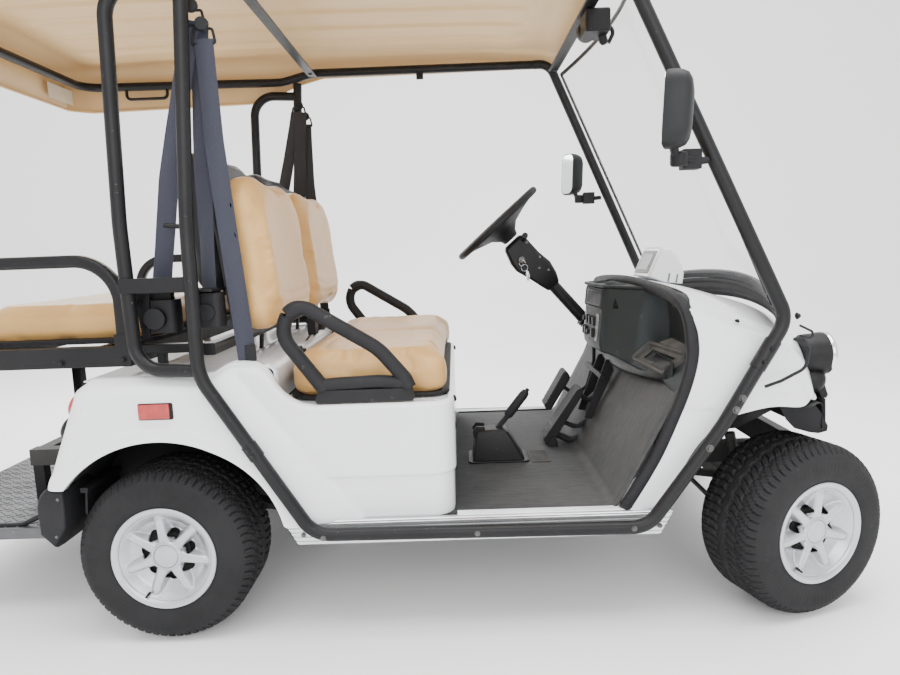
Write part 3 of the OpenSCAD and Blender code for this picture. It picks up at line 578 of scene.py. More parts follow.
def tread_depth(a, y):
    """How deep the tread is cut at an angle and a side position."""
    s = abs(y)
    lane = 15 + 5 * math.sin(a * SIPES / 2 + (0 if y > 0 else 2.0))
    deep = 0.0
    for c, w in ((lane, 3.2), (lane + 33, 3.0)):
        deep = max(deep, 5.0 * smooth(1.6 - abs(s - c) / w))
    lean = a * SIPES / (2 * math.pi) + 0.020 * s * (1 if y > 0 else -1) + 0.45 * math.sin(s * 0.060)
    cell = abs((lean % 1.0) - 0.5) * 2
    if s > 12:
        deep = max(deep, 5.5 * smooth((cell - 0.70) / 0.16))
    if s > 52:
        half = abs(((lean * 2) % 1.0) - 0.5) * 2
        deep = max(deep, 2.0 * smooth((half - 0.80) / 0.14))
    return deep * smooth((98 - s) / 8)


def tyre_mesh():
    prof = tyre_profile()
    n = 528
    verts = []
    for i in range(n):
        a = 2 * math.pi * i / n
        for r, y, tread in prof:
            cut = tread_depth(a, y) if tread else (0.9 * smooth(math.sin(a * 90) * 2 - 0.8) if 170 < r < 178 else 0)
            out = 1 if abs(y) <= TYRE_HALF - SHOULDER else (r - (TYRE_R - SHOULDER)) / SHOULDER
            side = 0 if abs(y) <= TYRE_HALF - SHOULDER else math.sqrt(max(0, 1 - out * out)) * (-1 if y > 0 else 1)
            verts.append(((r - cut * out) * math.cos(a), y + cut * side, (r - cut * out) * math.sin(a)))
    k = len(prof)
    faces = []
    for i in range(n):
        j = (i + 1) % n
        faces += [(i * k + m, j * k + m, j * k + m + 1, i * k + m + 1) for m in range(k - 1)]
        faces.append((i * k + k - 1, j * k + k - 1, j * k, i * k))
    return verts, faces


def rim_mesh():
    """The pressed face of a rim, seen from -Y: a dish with seven ridged spokes and a hole between each pair."""
    verts = []
    spokes, per = 7, 34
    n = spokes * per
    radii = [18, 24, 30, 35, 39, 42, 45, 48, 51, 54, 57, 60, 63, 66, 69, 72, 75, 78, 82, 86, 90, 94, 98, 102, 105,
             108, 111, 113.5, 115.5, 117.5]
    hole_r, hole_t, hole_a, hole_b = 60.0, 0.5, 12.5, 15.0

    def height(r, share):
        dish = table([(0, 24), (38, 24), (46, 30), (75, 33), (98, 22), (111, 9), (117.5, 3)], r)
        s = abs(share - round(share)) * 2 * math.pi / spokes * r
        wide = table([(30, 17), (60, 12.5), (90, 11), (104, 9), (112, 5)], r)
        top = table([(36, 14), (44, 12), (70, 9), (98, 7), (108, 9), (114, 8)], r)
        ridge = smooth(1.55 - s / wide) * smooth((115 - r) / 8)
        return dish * (1 - ridge) + top * ridge

    for i in range(n):
        share = i / per
        a = 2 * math.pi * share / spokes
        for r in radii:
            verts.append([r, a, share, height(r, share)])
    k = len(radii)
    keep_f = []

    def inside(r, share):
        t = (share % 1.0 - hole_t) * 2 * math.pi / spokes * r
        return ((r - hole_r) / hole_a) ** 2 + (t / hole_b) ** 2

    for i in range(n):
        j = (i + 1) % n
        for m in range(k - 1):
            rc = (radii[m] + radii[m + 1]) / 2
            sc = (i + 0.5) / per
            if inside(rc, sc) < 1.0:
                continue
            keep_f.append((i * k + m, j * k + m, j * k + m + 1, i * k + m + 1))
    used = {}
    for f in keep_f:
        for q in range(4):
            e = tuple(sorted((f[q], f[(q + 1) % 4])))
            used[e] = used.get(e, 0) + 1
    for e, c in used.items():
        if c != 1:
            continue
        for q in e:
            r, a, share, h = verts[q]
            if 40 < r < 80 and not (r in (radii[0], radii[-1])):
                v = inside(r, share)
                if 0.2 < v < 2.2:
                    t = (share % 1.0 - hole_t) * 2 * math.pi / spokes * r
                    sc = 1 / math.sqrt(v)
                    r2 = hole_r + (r - hole_r) * sc
                    t2 = t * sc
                    base = math.floor(share) + hole_t
                    verts[q] = [r2, 2 * math.pi / spokes * base + t2 / r2, share, h]
    out = [(r * math.cos(a), h, r * math.sin(a)) for r, a, share, h in verts]
    return out, keep_f


TYRE_MESH = tyre_mesh()
RIM_FACE = rim_mesh()


def wheel_place(corner):
    """(4x4 matrix in mm of the wheel's own frame; its outer side looks to -Y)."""
    side = 1 if corner.endswith("left") else -1
    spin = math.pi if side > 0 else 0
    if corner.startswith("rear"):
        return Matrix.Translation((0, side * REAR_WHEEL_Y, WHEEL_Z)) @ Matrix.Rotation(spin, 4, "Z")
    m = Matrix.Translation((WB, side * KINGPIN_Y, WHEEL_Z)) @ Matrix.Rotation(PARK, 4, "Z")
    return m @ Matrix.Translation((0, side * 88.4, 0)) @ Matrix.Rotation(spin, 4, "Z")


def placed(shape, m):
    s = Shape()
    s.v = [tuple(m @ Vector(p)) for p in shape.v]
    s.f = shape.f
    return s


def wheel(corner, turn):
    body = "wheel_" + corner
    m = wheel_place(corner) @ Matrix.Rotation(turn, 4, "Y")
    piece("tyre_skin_" + corner, placed(Shape().add(*TYRE_MESH), m), "tyre", body, ["tyre_" + corner], angle=28)
    face = -95.0
    s = Shape()
    s.add([(x, face + y, z) for x, y, z in RIM_FACE[0]], RIM_FACE[1])
    o = piece("rim_face_" + corner, placed(s, m), "rim", body, ["rim_" + corner], angle=50, thick=3.5)
    o.modifiers["thick"].offset = 0
    # barrel with its outer lip
    lip = [(117.0, face + 2), (118.5, face - 0.5), (122, face - 3.5), (127, face - 5), (133, face - 6),
           (134.6, face - 4.5), (134.8, face - 1.5), (131, face + 0.5), (126.4, face + 3), (126.4, 92), (134, 94),
           (134, 99), (122, 99), (119, 92), (118, 40), (118, face + 12), (117.0, face + 2)]
    s = Shape().add(*lathe(lip[:-1] + [lip[0]], (0, 0, 0), (0, 1, 0), 64))
    s.f = [f for f in s.f if len(f) == 4]
    piece("rim_barrel_" + corner, placed(s, m), "rim", body, angle=40)
    s = Shape()
    s.add(*lathe([(0.0, face + 9), (27, face + 9), (30, face + 10), (31, face + 12), (32, face + 9.5), (36, face + 10),
                  (40.5, face + 13), (41, face + 24)], (0, 0, 0), (0, 1, 0), 48))
    piece("hub_cap_" + corner, placed(s, m), "rim", body, angle=40)
    # what shows dark behind the holes, with its hub
    s = Shape().add(*lathe([(0.0, face + 52), (112, face + 52), (117, face + 48), (117.5, face + 60),
                            (30, face + 64)], (0, 0, 0), (0, 1, 0), 48))
    s.add(*lathe([(0.0, face + 40), (52, face + 40), (54, face + 44), (54, face + 60)], (0, 0, 0), (0, 1, 0), 32))
    piece("brake_drum_" + corner, placed(s, m), "steel", body, angle=40)
    s = Shape()
    a = math.radians(250)
    at = np.array((108 * math.cos(a), face + 8, 108 * math.sin(a)))
    s.add(*lathe([(0.0, 0), (3.4, 0), (3.4, 10), (2.6, 12), (2.6, 20), (0.0, 20)], at,
                 (0.15 * math.cos(a), -1, 0.15 * math.sin(a)), 12))
    piece("valve_" + corner, placed(s, m), "soft_black", body, angle=40)


for c, turn in (("rear_right", 0.13), ("rear_left", 0.4), ("front_right", 0.3), ("front_left", 0.7)):
    wheel(c, turn)

# ---------------------------------------------------------------- tube frame

ROOF_Z = 1690.0
HOOP = [(160, 566, 1664), (123, 570, 1065), (132, 600, 700), (388, 600, 284), (1228, 600, 277), (1417, 584, 528),
        (1572, 572, 788), (1164, 520, ROOF_Z), (1100, 520, ROOF_Z)]
HOOP_R = [900, 150, 80, 80, 500, 70, 60]
REAR_HOOP = [(150, 568, 1616), (-20, 570, 1624), (-38, 570, 1071), (-31, 570, 716), (132, 592, 712)]


def flip_y(pts):
    return [(x, -y, z) for x, y, z in pts]


for side, tag in ((1, "left"), (-1, "right")):
    path = HOOP if side > 0 else flip_y(HOOP)
    piece("side_hoop_tube_" + tag, Shape().add(*tube(path, HOOP_R, 34, step=5)), "tube", nodes=["side_hoop_" + tag])
    path = REAR_HOOP if side > 0 else flip_y(REAR_HOOP)
    s = Shape().add(*tube(path[:1] + path[1:], [80, 900, 70], 34, step=5))
    piece("rear_hoop_tube_" + tag, s, "tube", nodes=["rear_hoop_" + tag])
    # flat bar between the posts, clamp sleeves and their screws
    s = Shape().add(*prism([(-46, 906), (134, 906), (134, 942), (-46, 942)], side * 586, side * 592))
    piece("post_bar_" + tag, s, "tube", bevel=1.5)
    s = Shape()
    for a, b in (((1500, 577, 668), (1541, 574, 736)), ((240, 600, 524), (262, 600, 489))):
        a, b = np.array(a, float), np.array(b, float)
        a[1] *= side
        b[1] *= side
        d = unit(b - a)
        s.add(*lathe([(17.0, -0.1), (19.6, 0), (19.6, np.linalg.norm(b - a)), (17.0, np.linalg.norm(b - a) + 0.1)],
                     a, d, 24))
        for k in (0.25, 0.72):
            p = a + (b - a) * k + np.array((0, side * 17, 0))
            s.join(bolt(p, (0.15, side, 0.1), 11, 7, 20))
    piece("hoop_clamps_" + tag, s, "tube", angle=35)
    s = Shape()
    for x, y, z in ((1459, 580, 598), (1443, 582, 570), (1378, 588, 477)):
        s.join(bolt((x, side * (y + 16), z), (0, side, 0), 13, 7))
    for x in (415, 800, 1190):
        s.join(bolt((x, side * 616, 281), (0, side, 0), 10, 5, 20))
    piece("hoop_screws_" + tag, s, "bolt", angle=35)

U_PATH = [(1099, 520, ROOF_Z), (235, 520, ROOF_Z), (100, 560, ROOF_Z - 20), (-700, 560, ROOF_Z - 12),
          (-700, -560, ROOF_Z - 12), (100, -560, ROOF_Z - 20), (235, -520, ROOF_Z), (1099, -520, ROOF_Z)]
s = Shape().add(*tube(U_PATH, [120, 120, 70, 70, 120, 120], 32, flat=(0, 0, 1), step=5))
s.add(*sweep([(1156, -500, ROOF_Z - 14), (1156, 500, ROOF_Z - 14)], ring(25)))
piece("roof_tubes", s, "tube", nodes=["roof_frame"])
s = Shape()
s.add(*prism([(216, 1675), (250, 1675), (250, 1680), (216, 1680)], -520, 520))
s.add(*prism([(1158, 1656), (1194, 1656), (1194, 1662), (1158, 1662)], -496, 496))
s.add(*block(640, 668, -524, -519, 1652, 1692))
s.add(*block(640, 668, 519, 524, 1652, 1692))
piece("roof_straps", s, "tube", bevel=1.2)
s = Shape()
for y in (-1, 1):
    for x in (654, ):
        s.join(bolt((x, y * 524, 1660), (0, y, 0), 10, 5))
    for x in (233, 1176):
        s.join(bolt((x, y * 470, 1674 if x < 300 else 1655), (0, 0, -1), 11, 5))
piece("roof_bolts", s, "bolt", angle=35)
# wiper motor under the header
s = Shape().add(*slab(rounded(1166, 1238, -190, -90, 10), 1590, 1654))
piece("wiper_box", s, "black", bevel=6, segs=3)
s = Shape().add(*lathe([(0.0, 0), (26, 0), (30, 6), (30, 34), (24, 42), (0.0, 42)], (1190, -100, 1622), (0, 1, 0.0),
                       24))
s.add(*tube([(1232, -120, 1640), (1262, -120, 1606), (1246, -120, 1575)], 18, 12, n=10))
s.add(*lathe([(0.0, 0), (13, 0), (13, 18), (7, 26), (0.0, 26)], (1222, -140, 1590), (0.3, 0, -1), 16))
piece("wiper_motor", s, "black", angle=40)

# ---------------------------------------------------------------- canopy

ROOF_X0, ROOF_X1, ROOF_Y = -765.0, 1206.0, 610.0


def roof_edge(x):
    """Height of the lower edge of the rim along the side."""
    return table([(-765, 1590), (-40, 1604), (60, 1630), (150, 1668), (260, 1696), (1206, 1700)], x)


def roof_top(x, y):
    """Height of the skin inside the rim, with its long shallow ribs."""
    along = table([(-765, 1742), (-690, 1764), (-400, 1772), (250, 1776), (900, 1768), (1120, 1754), (1206, 1730)], x)
    crown = 16 * (1 - (abs(y) / ROOF_Y) ** 2)
    z = along - 14 + crown
    band = smooth((x + 640) / 60) * smooth((1060 - x) / 60)
    for k in range(7):
        c = -456 + 152 * k
        z += 9 * band * (smooth((abs(y - c) - 46) / 12) - 1) * smooth((80 - abs(y - c)) / 6)
    return z


def canopy():
    nx, ny = 120, 150
    xs = [ROOF_X0 + 4 + (ROOF_X1 - ROOF_X0 - 8) * i / (nx - 1) for i in range(nx)]
    s = Shape()

    def half(x):
        r = 90.0
        d = min(x - ROOF_X0, ROOF_X1 - x)
        return ROOF_Y - (0 if d >= r else r - math.sqrt(max(0, r * r - (r - d) ** 2)))

    rows = []
    for x in xs:
        w = half(x)
        row = []
        low = roof_edge(x)
        rim = [(w - 1, low), (w, low + 6), (w, low + 20)]
        top = roof_top(x, w - 34) - 4
        rim += [(w - 2, low + (top - 26 - low) * k) for k in (0.5, 0.8)]
        rim += [(w - 5, top - 16), (w - 14, top - 5), (w - 26, top + 1)]
        n_in = ny - 2 * len(rim)
        inner = [(-(w - 34) + 2 * (w - 34) * k / (n_in - 1)) for k in range(n_in)]
        row += [(x, -y, z) for y, z in rim]
        row += [(x, y, roof_top(x, y)) for y in inner]
        row += [(x, y, z) for y, z in reversed(rim)]
        rows.append(row)
    # roll the front and rear ends down to the rim

    def end_rows(row, sign, edge_z):
        res = []
        for dx, drop in ((3.0, 10), (4.5, 24), (5.0, 40), (5.0, None)):
            new = []
            for x, y, z in row:
                z2 = z - drop if drop is not None else edge_z
                z2 = max(min(z2, z), min(edge_z, z))
                new.append((x + sign * dx * 0.78, y, z2))
            res.append(new)
        return res

    rear = end_rows(rows[0], -1, 1590)
    front = end_rows(rows[-1], 1, 1700)
    rows = list(reversed(rear)) + rows + front
    n, k = len(rows), len(rows[0])
    verts = [p for row in rows for p in row]
    faces = net(n - 1, k - 1, k)
    s.add(verts, faces)
    piece("canopy_shell", s, "tan_roof", nodes=["canopy"], angle=55, thick=-3.5)


canopy()
# rolled lip under the rim, blank sticker plate
s = Shape()
line = [(ROOF_X1 - 6, -597, 1698), (260, -605, 1694), (150, -605, 1667), (60, -605, 1630), (-40, -605, 1604),
        (-690, -605, 1592), (-757, -540, 1590), (-757, 540, 1590), (-690, 605, 1592), (-40, 605, 1604),
        (60, 605, 1630), (150, 605, 1667), (260, 605, 1694), (ROOF_X1 - 6, 597, 1698)]
s.add(*sweep(fillet(line, [60, 60, 60, 60, 60, 60, 60, 60, 60, 60, 60, 60], 10), box_section(9, 7, 3), flat=(0, 0, 1)))
piece("canopy_lip", s, "tan_roof", angle=50)
s = Shape().add(*block(-750.5, -748.8, 400, 560, 1612, 1668))
piece("sticker_plate", s, "sign", bevel=0.5)

# ---------------------------------------------------------------- white rear body

ARCH = (14.0, WHEEL_Z)
ARCH_R = 312.0
SILL = 303.0


def arch_z(x):
    d = ARCH_R ** 2 - (x - ARCH[0]) ** 2
    return ARCH[1] + math.sqrt(d) if d > 0 else 0


def body_low(x):
    return max(423.0, arch_z(x)) if x < 14 else max(SILL, arch_z(x))


def body_top(x):
    return table([(-283, 684), (-248, 688), (-190, 691), (120, 691), (150, 696), (176, 712), (196, 719), (250, 714),
                  (272, 704), (286, 684), (300, 658), (316, 637), (340, 618), (366, 606), (400, 600), (760, 600)],
                 x)


def body_crease(x):
    return table([(-283, 646), (-190, 650), (100, 650), (150, 664), (190, 692), (250, 692), (286, 672), (300, 649),
                  (340, 611), (400, 592), (760, 591)], x)


def slope_run(x):
    return table([(-283, 40), (100, 42), (190, 34), (270, 26), (300, 16), (400, 9), (760, 9)], x)


def side_y(x, z):
    r = math.hypot(x - ARCH[0], z - ARCH[1])
    fender = 596 + 6.5 * smooth((350 - r) / 13) + 2.0 * smooth((322 - r) / 9)
    hoop = 132 + (700 - z) * 0.615
    end = table([(303, 505), (414, 420), (690, 205), (720, 190)], z)
    pts = [(hoop - 95, fender), (hoop - 32, 590), (hoop + 6, 574), (end, 545.5), (end + 400, 545)]
    w = 11 if x < end - 25 else 3
    y = sum(table(pts, x + k * w) for k in (-1, -0.5, 0, 0.5, 1)) / 5
    step = 6.0 * smooth((415 - z) / 5) * smooth((x - (end - 8)) / 16)
    return y - step


def body_stations():
    """Places round the plan of the body from the rear centre to the front centre."""
    out = [("rear", y) for y in np.linspace(0, 555, 16)[:-1]]
    out += [("rear_corner", a) for a in np.linspace(180, 90, 9)]
    xs = list(np.linspace(-248, 300, 92)[1:]) + list(np.linspace(300, 689, 50)[1:])
    out += [("side", x) for x in xs]
    out += [("front_corner", a) for a in np.linspace(90, 0, 13)[1:]]
    out += [("front", y) for y in np.linspace(485, 0, 14)[1:]]
    return out


def body_place(st, z):
    """Point and outward direction of the skin in plan at a station and height."""
    kind, q = st
    lean = (z - 423) * 0.395
    if kind == "rear":
        return (-283 + lean - 7 * (1 - (q / 555) ** 2), q), (-1, 0)
    if kind == "rear_corner":
        a = math.radians(q)
        y0 = side_y(-248, z) - 38
        return (-248 + lean + 35 * math.cos(a), y0 + 38 * math.sin(a)), (math.cos(a), math.sin(a))
    if kind == "side":
        fade = max(0.0, 1 - (q + 248) / 120)
        x = q + (z - body_low(q)) * 0.395 * fade
        return (x, side_y(q, z)), (0, 1)
    step = 545 - side_y(700, z)
    if kind == "front_corner":
        a = math.radians(q)
        return (689 + (60 - step) * math.cos(a), 485 + (60 - step) * math.sin(a)), (math.cos(a), math.sin(a))
    return (749 - step, q), (1, 0)


def station_x(st):
    return {"rear": -283, "rear_corner": -270, "side": st[1], "front_corner": 700, "front": 740}[st[0]]


def rear_skin():
    stations = body_stations()
    cols = []
    for st in stations:
        x0 = station_x(st)
        low, crease, top, run = body_low(x0), body_crease(x0), body_top(x0), slope_run(x0)
        if st[0] in ("rear", "rear_corner"):
            low = 423
        mid_share = 0.37
        mix = smooth((x0 - 265) / 150)
        mid = (low + mid_share * (crease - low)) * (1 - mix) + 414 * mix
        zs = [low + (mid - 6 - low) * k / 14 for k in range(15)] + [mid - 3, mid, mid + 2.5, mid + 6]
        zs += [mid + 6 + (crease - mid - 6) * k / 24 for k in range(1, 25)]
        col = []
        (px, py), n = body_place(st, low)
        col.append((px - n[0] * 16, py - n[1] * 16, low + 1))
        for z in zs:
            (px, py), n = body_place(st, z)
            col.append((px, py, z))
        base = col[-1]
        for share, lift in ((0.06, 0.30), (0.22, 0.50), (0.5, 0.72), (0.8, 0.92), (0.92, 0.985), (1.1, 1.0),
                            (1.5, 1.0)):
            d = run * share
            col.append((base[0] - n[0] * d, base[1] - n[1] * d, crease + (top - crease) * lift))
        cols.append(col)
    k = len(cols[0])
    s = Shape()
    s.add([p for c in cols for p in c],
          net(len(cols) - 1, k - 1, k))
    n = len(s.v)
    mirrored = [(x, -y, z) for x, y, z in s.v]
    s.add(mirrored, [tuple(reversed(f)) for f in s.f])
    # deck behind the cushion
    prof = [(-176, 689), (-60, 690), (60, 690), (122, 690), (150, 695), (176, 711), (196, 718), (250, 713),
            (276, 707), (290, 700), (296, 690), (297, 606)]
    ys = np.linspace(-556, 556, 33)
    dv = []
    for x, z in prof:
        w = table([(-176, 1.0), (150, 1.0), (200, 0.955), (297, 0.93)], x)
        dv += [(x, y * w, z) for y in ys]
    m = len(ys)
    s.add(dv, net(len(prof) - 1, m - 1, m))
    return s


o = piece("rear_body_skin", rear_skin(), "white", nodes=["rear_body"], angle=55, thick=3.6)
s = Shape()
for y in (-1, 1):
    s.add(*block(312, 700, min(y * 440, y * 540), max(y * 440, y * 540), 594, 599))
s.add(*block(699, 742, -500, 500, 594, 599))
s.add(*block(296, 330, -538, 538, 594, 599))
piece("rear_body_flange", s, "white", bevel=1.5)
s = Shape()
for y in (230, 290):
    ear = [(256, 703), (268, 671), (298, 701), (305, 706), (308, 711), (305, 717), (298, 721), (268, 717)]
    for side in (1, -1):
        s.add(*prism(ear, side * y, side * (y + 5)))
piece("hinge_ears", s, "white", bevel=1.2)

# black recess of the latch, screws of the panels
s = Shape().add(*sweep(fillet([(748.0, -318, 430), (748.0, -318, 512), (748.0, -286, 512), (748.0, -286, 430)], 9, 20) +
                       [np.array((748.0, -318, 430))], box_section(5, 3, 1), flat=(1, 0, 0)))
s.add(*block(744, 749.4, -316, -288, 432, 510))
s.add(*block(748, 756, -312, -292, 466, 484))
for y in (-452, 452):
    s.add(*lathe([(0.0, 0), (9, 0), (9, 10), (6, 14), (0.0, 14)], (745, y, 588), (1, 0, 0.2), 14))
piece("seat_base_latch", s, "soft_black", bevel=0.8)

# wheel wells, mud flaps
s = Shape()
for side in (1, -1):
    rr = 318.0
    arc = []
    for k in range(41):
        a = math.radians(15 + 154 * k / 40)
        x, z = ARCH[0] + rr * math.cos(a), ARCH[1] + rr * math.sin(a)
        arc.append((min(max(x, -262), 330), z))
    v = [(x, side * yy, z) for x, z in arc for yy in (330, 400, 470, 540, 578)]
    s.add(v, net(40, 4, 5))
    wall = [(x, side * 330, z) for x, z in arc] + [(ARCH[0], side * 330, 330)]
    s.add(wall, [(i, i + 1, 41) for i in range(40)])
piece("rear_wells", s, "black", nodes=["wheel_liners"], angle=50, thick=2)
s = Shape()
for side in (1, -1):
    flap = [(-208, 342), (-202, 338), (-196, 410), (-202, 412)]
    s.add(*prism(flap, side * 395, side * 560))
    s.add(*prism([(-212, 400), (-192, 400), (-192, 414), (-212, 414)], side * 390, side * 566))
piece("mud_flaps", s, "soft_black", bevel=1)

# reflectors on the fenders, tail lamps
s = Shape()
r = Shape()
for side in (1, -1):
    body = rounded(-24, 62, 594, 636, 4, 3)
    v, f = prism([(x, z) for x, z in body], side * 592, side * 603)
    s.add(v, f)
    lens = rounded(-22, 55, 597, 634, 3, 3)
    v, f = prism([(x, z) for x, z in lens], side * 600, side * 607)
    r.add(v, f)
piece("reflector_backs", s, "black", nodes=[], bevel=1.2)
piece("reflector_lenses", r, "red", nodes=[], bevel=1.8)
s = Shape()
r = Shape()
for side in (1, -1):
    at, ax = (-206, side * 520, 616), (-1, 0, 0.395)
    r.add(*lathe([(0.0, 26), (24, 25), (30, 21), (32, 14), (32, 0)], at, ax, 32))
    at = (-226, side * 520, 553)
    s.add(*lathe([(0.0, 34), (14, 34), (26, 31), (33, 24), (36, 14), (36, 0)], at, ax, 32))
piece("tail_lamps_red", r, "red", nodes=[], angle=60)
piece("tail_lamps_black", s, "black", nodes=[], angle=60)

# bumper: black corners under the fenders and a bar between
s = Shape()
for side in (1, -1):
    path = [(-306, 300), (-270, 263), (-236, 318), (-231, 372), (-233, 422), (-286, 423), (-300, 408), (-308, 380)]
    ring_out = path
    v, n = [], len(path)
    for y, grow in ((470, -6), (476, 0), (560, 0), (588, -3), (600, -9), (603, -16)):
        cx, cz = -268, 350
        v += [(x + (cx - x) * (-grow) / 90, side * y, z + (cz - z) * (-grow) / 90) for x, z in ring_out]
    f = ring_net(5, n)
    f += [tuple(range(n - 1, -1, -1)), tuple(5 * n + j for j in range(n))]
    s.add(v, f)
s.add(*block(-306, -292, -480, 480, 300, 362))
s.add(*block(-292, -284, -480, 480, 352, 420))
piece("bumper_parts", s, "soft_black", nodes=["rear_bumper"], bevel=3, segs=3, angle=30)
s = Shape()
for side in (1, -1):
    s.join(bolt((-248, side * 599, 398), (0, side, 0), 9, 5))
    s.join(bolt((-262, side * 599, 300), (0, side, 0), 9, 5))
piece("bumper_bolts", s, "bolt", angle=35)

# ---------------------------------------------------------------- sills

s = Shape()
for side in (1, -1):
    prof = [(548, 302), (556, 304), (563, 304), (566, 302)]
    z = 301.0
    for k in range(5):
        top = 299 - 11.6 * k
        prof += [(566, top), (569, top - 1.6), (569, top - 6.4), (566, top - 8)]
    prof += [(566, 243), (563, 241.5), (548, 241.5)]
    n = len(prof)
    v = []
    for end in (0, 1):
        for y, zz in prof:
            share = (303 - zz) / 61
            x = (307 + 33 * share) if end == 0 else (1302 - 33 * share)
            v.append((x, side * y, zz))
    s.add(v, [(j, (j + 1) % n, n + (j + 1) % n, n + j) for j in range(n)] + [tuple(range(n - 1, -1, -1)),
            tuple(range(n, 2 * n))])
    # ribbed top strip beside the floor mat
    tops = [(520, 300), (520, 303.5)]
    for k in range(5):
        y0 = 524 + 5.6 * k
        tops += [(y0, 303.5), (y0 + 0.8, 305.2), (y0 + 3.2, 305.2), (y0 + 4, 303.5)]
    tops += [(552, 303.5), (552, 300)]
    n = len(tops)
    v = [(x, side * y, zz) for x in (752, 1262) for y, zz in tops]
    s.add(v, [(j, (j + 1) % n, n + (j + 1) % n, n + j) for j in range(n)] + [tuple(range(n - 1, -1, -1)),
            tuple(range(n, 2 * n))])
piece("sill_profiles", s, "alloy", nodes=["sills"], angle=20)
s = Shape()
for side in (1, -1):
    for x in (354, 700, 1000, 1268):
        s.join(bolt((x, side * 569, 270 if x != 1268 else 266), (0, side, 0), 9, 5))
piece("sill_bolts", s, "bolt", angle=35)

# ---------------------------------------------------------------- footrest

# the plate's rear edge stays inside the CAD box
FR0, FR1 = max(-868.0, cad_box[0][0] / MM - AXLE_X / MM), -345.0
s = Shape()
s.add(*block(FR0, FR1, -452, 452, 257, 261))
s.add(*block(FR0, FR0 + 4, -455, 455, 232, 262))
for side in (1, -1):
    s.add(*prism([(FR0, 232), (FR1, 232), (FR1, 263), (FR0, 263)], side * 451, side * 455))
    s.add(*prism([(FR1 + 3, 236), (-292, 306), (-292, 330), (FR1 + 3, 263)], side * 446, side * 452))
piece("footrest_tray", s, "plate", nodes=["footrest"], bevel=1.5)
s = Shape()
row = 0
x = FR0 + 16
while x < FR1 - 10:
    y = -438 + (12 if row % 2 else 0)
    while y < 440:
        tilt = 1 if (row + int((y + 500) / 24)) % 2 else -1
        u = np.array((math.cos(0.62 * tilt), math.sin(0.62 * tilt)))
        w = np.array((-u[1], u[0]))
        base = np.array((x, y))
        low = [base + u * 10.5, base + w * 3.2, base - u * 10.5, base - w * 3.2]
        top = [base + u * 7.5, base + w * 1.5, base - u * 7.5, base - w * 1.5]
        s.add([(*p, 261) for p in low] + [(*p, 262.9) for p in top],
              [(0, 1, 5, 4), (1, 2, 6, 5), (2, 3, 7, 6), (3, 0, 4, 7), (4, 5, 6, 7)])
        y += 24
    x += 17
    row += 1
piece("footrest_lozenges", s, "plate", merge=False, angle=30)
s = Shape()
for side in (1, -1):
    s.add(*block(-556, -524, min(side * 196, side * 228), max(side * 196, side * 228), 261, 372))
    s.add(*tube([(-556, side * 430, 262), (-470, side * 430, 262), (-300, side * 430, 340)], [60], 14))
    for x in (-820, -600, -380):
        s.join(bolt((x, side * 430, 261), (0, 0, 1), 12, 6))
piece("footrest_brackets", s, "soft_black", angle=35)

# ---------------------------------------------------------------- white front cowl

CREASE = [(1350, 815), (1412, 792), (1462, 770), (1551, 733), (1590, 712), (1640, 676), (1665, 632), (1680, 598),
          (1686, 572)]
REAR_EDGE = [(1199, 303), (1253, 392), (1293, 470), (1345, 600), (1367, 687), (1366, 750), (1350, 815)]
ARCH_EDGE = [(1297, 303), (1322, 388), (1372, 474), (1446, 538), (1543, 566), (1640, 562), (1686, 572)]


def chain_at(pts, t):
    """A point at a share of the length of a smooth line through pts."""
    key = tuple(pts)
    if key not in chain_at.store:
        line = np.array([curve_at(pts, k / 160) for k in range(161)])
        run = np.concatenate([[0], np.cumsum(np.linalg.norm(np.diff(line, axis=0), axis=1))])
        chain_at.store[key] = (line, run / run[-1])
    line, run = chain_at.store[key]
    return np.array([np.interp(t, run, line[:, c]) for c in range(line.shape[1])])


chain_at.store = {}


def cowl_side(u, v):
    """u from the door edge to the wheel arch, v from the sill to the crease."""
    a, b = chain_at(REAR_EDGE, v), chain_at(ARCH_EDGE, v)
    lo = np.array(REAR_EDGE[0]) * (1 - u) + np.array(ARCH_EDGE[0]) * u
    hi = chain_at(CREASE, u)
    c00, c10, c01, c11 = (np.array(p, float) for p in (REAR_EDGE[0], ARCH_EDGE[0], REAR_EDGE[-1], ARCH_EDGE[-1]))
    p = a * (1 - u) + b * u + lo * (1 - v) + hi * v
    p -= c00 * (1 - u) * (1 - v) + c10 * u * (1 - v) + c01 * (1 - u) * v + c11 * u * v
    x, z = p
    gap_c = np.linalg.norm(p - hi)
    y = 552 - 17 * smooth(1 - gap_c / 75) ** 1.3
    gap_b = np.linalg.norm(p - b)
    lip = smooth((x - 1440) / 60)
    y += (6 * smooth(1 - gap_b / 36) + 3.0 * smooth((34 - gap_b) / 7)) * lip * smooth(gap_c / 40)
    y -= 34 * smooth((x - 1590) / 96) ** 1.4
    y -= 2.2 * smooth((564 - z) / 5) * smooth((1425 - x) / 30)
    return (x, y, z)


def cowl():
    s = Shape()
    nu, nv = 54, 84
    s.add(*grid(lambda a, b: cowl_side(a, b), nu, nv))
    # turned edges at the door and the arch
    for u in (0, 1):
        edge = [cowl_side(u, j / (nv - 1)) for j in range(nv)]
        v = [(x, y, z) for x, y, z in edge] + [(x, y - 15, z) for x, y, z in edge]
        s.add(v, [(j, j + 1, nv + j + 1, nv + j) for j in range(nv - 1)])
    return s.mirror()


piece("cowl_sides", cowl(), "white", nodes=["front_cowl"], angle=50, thick=-3.2)

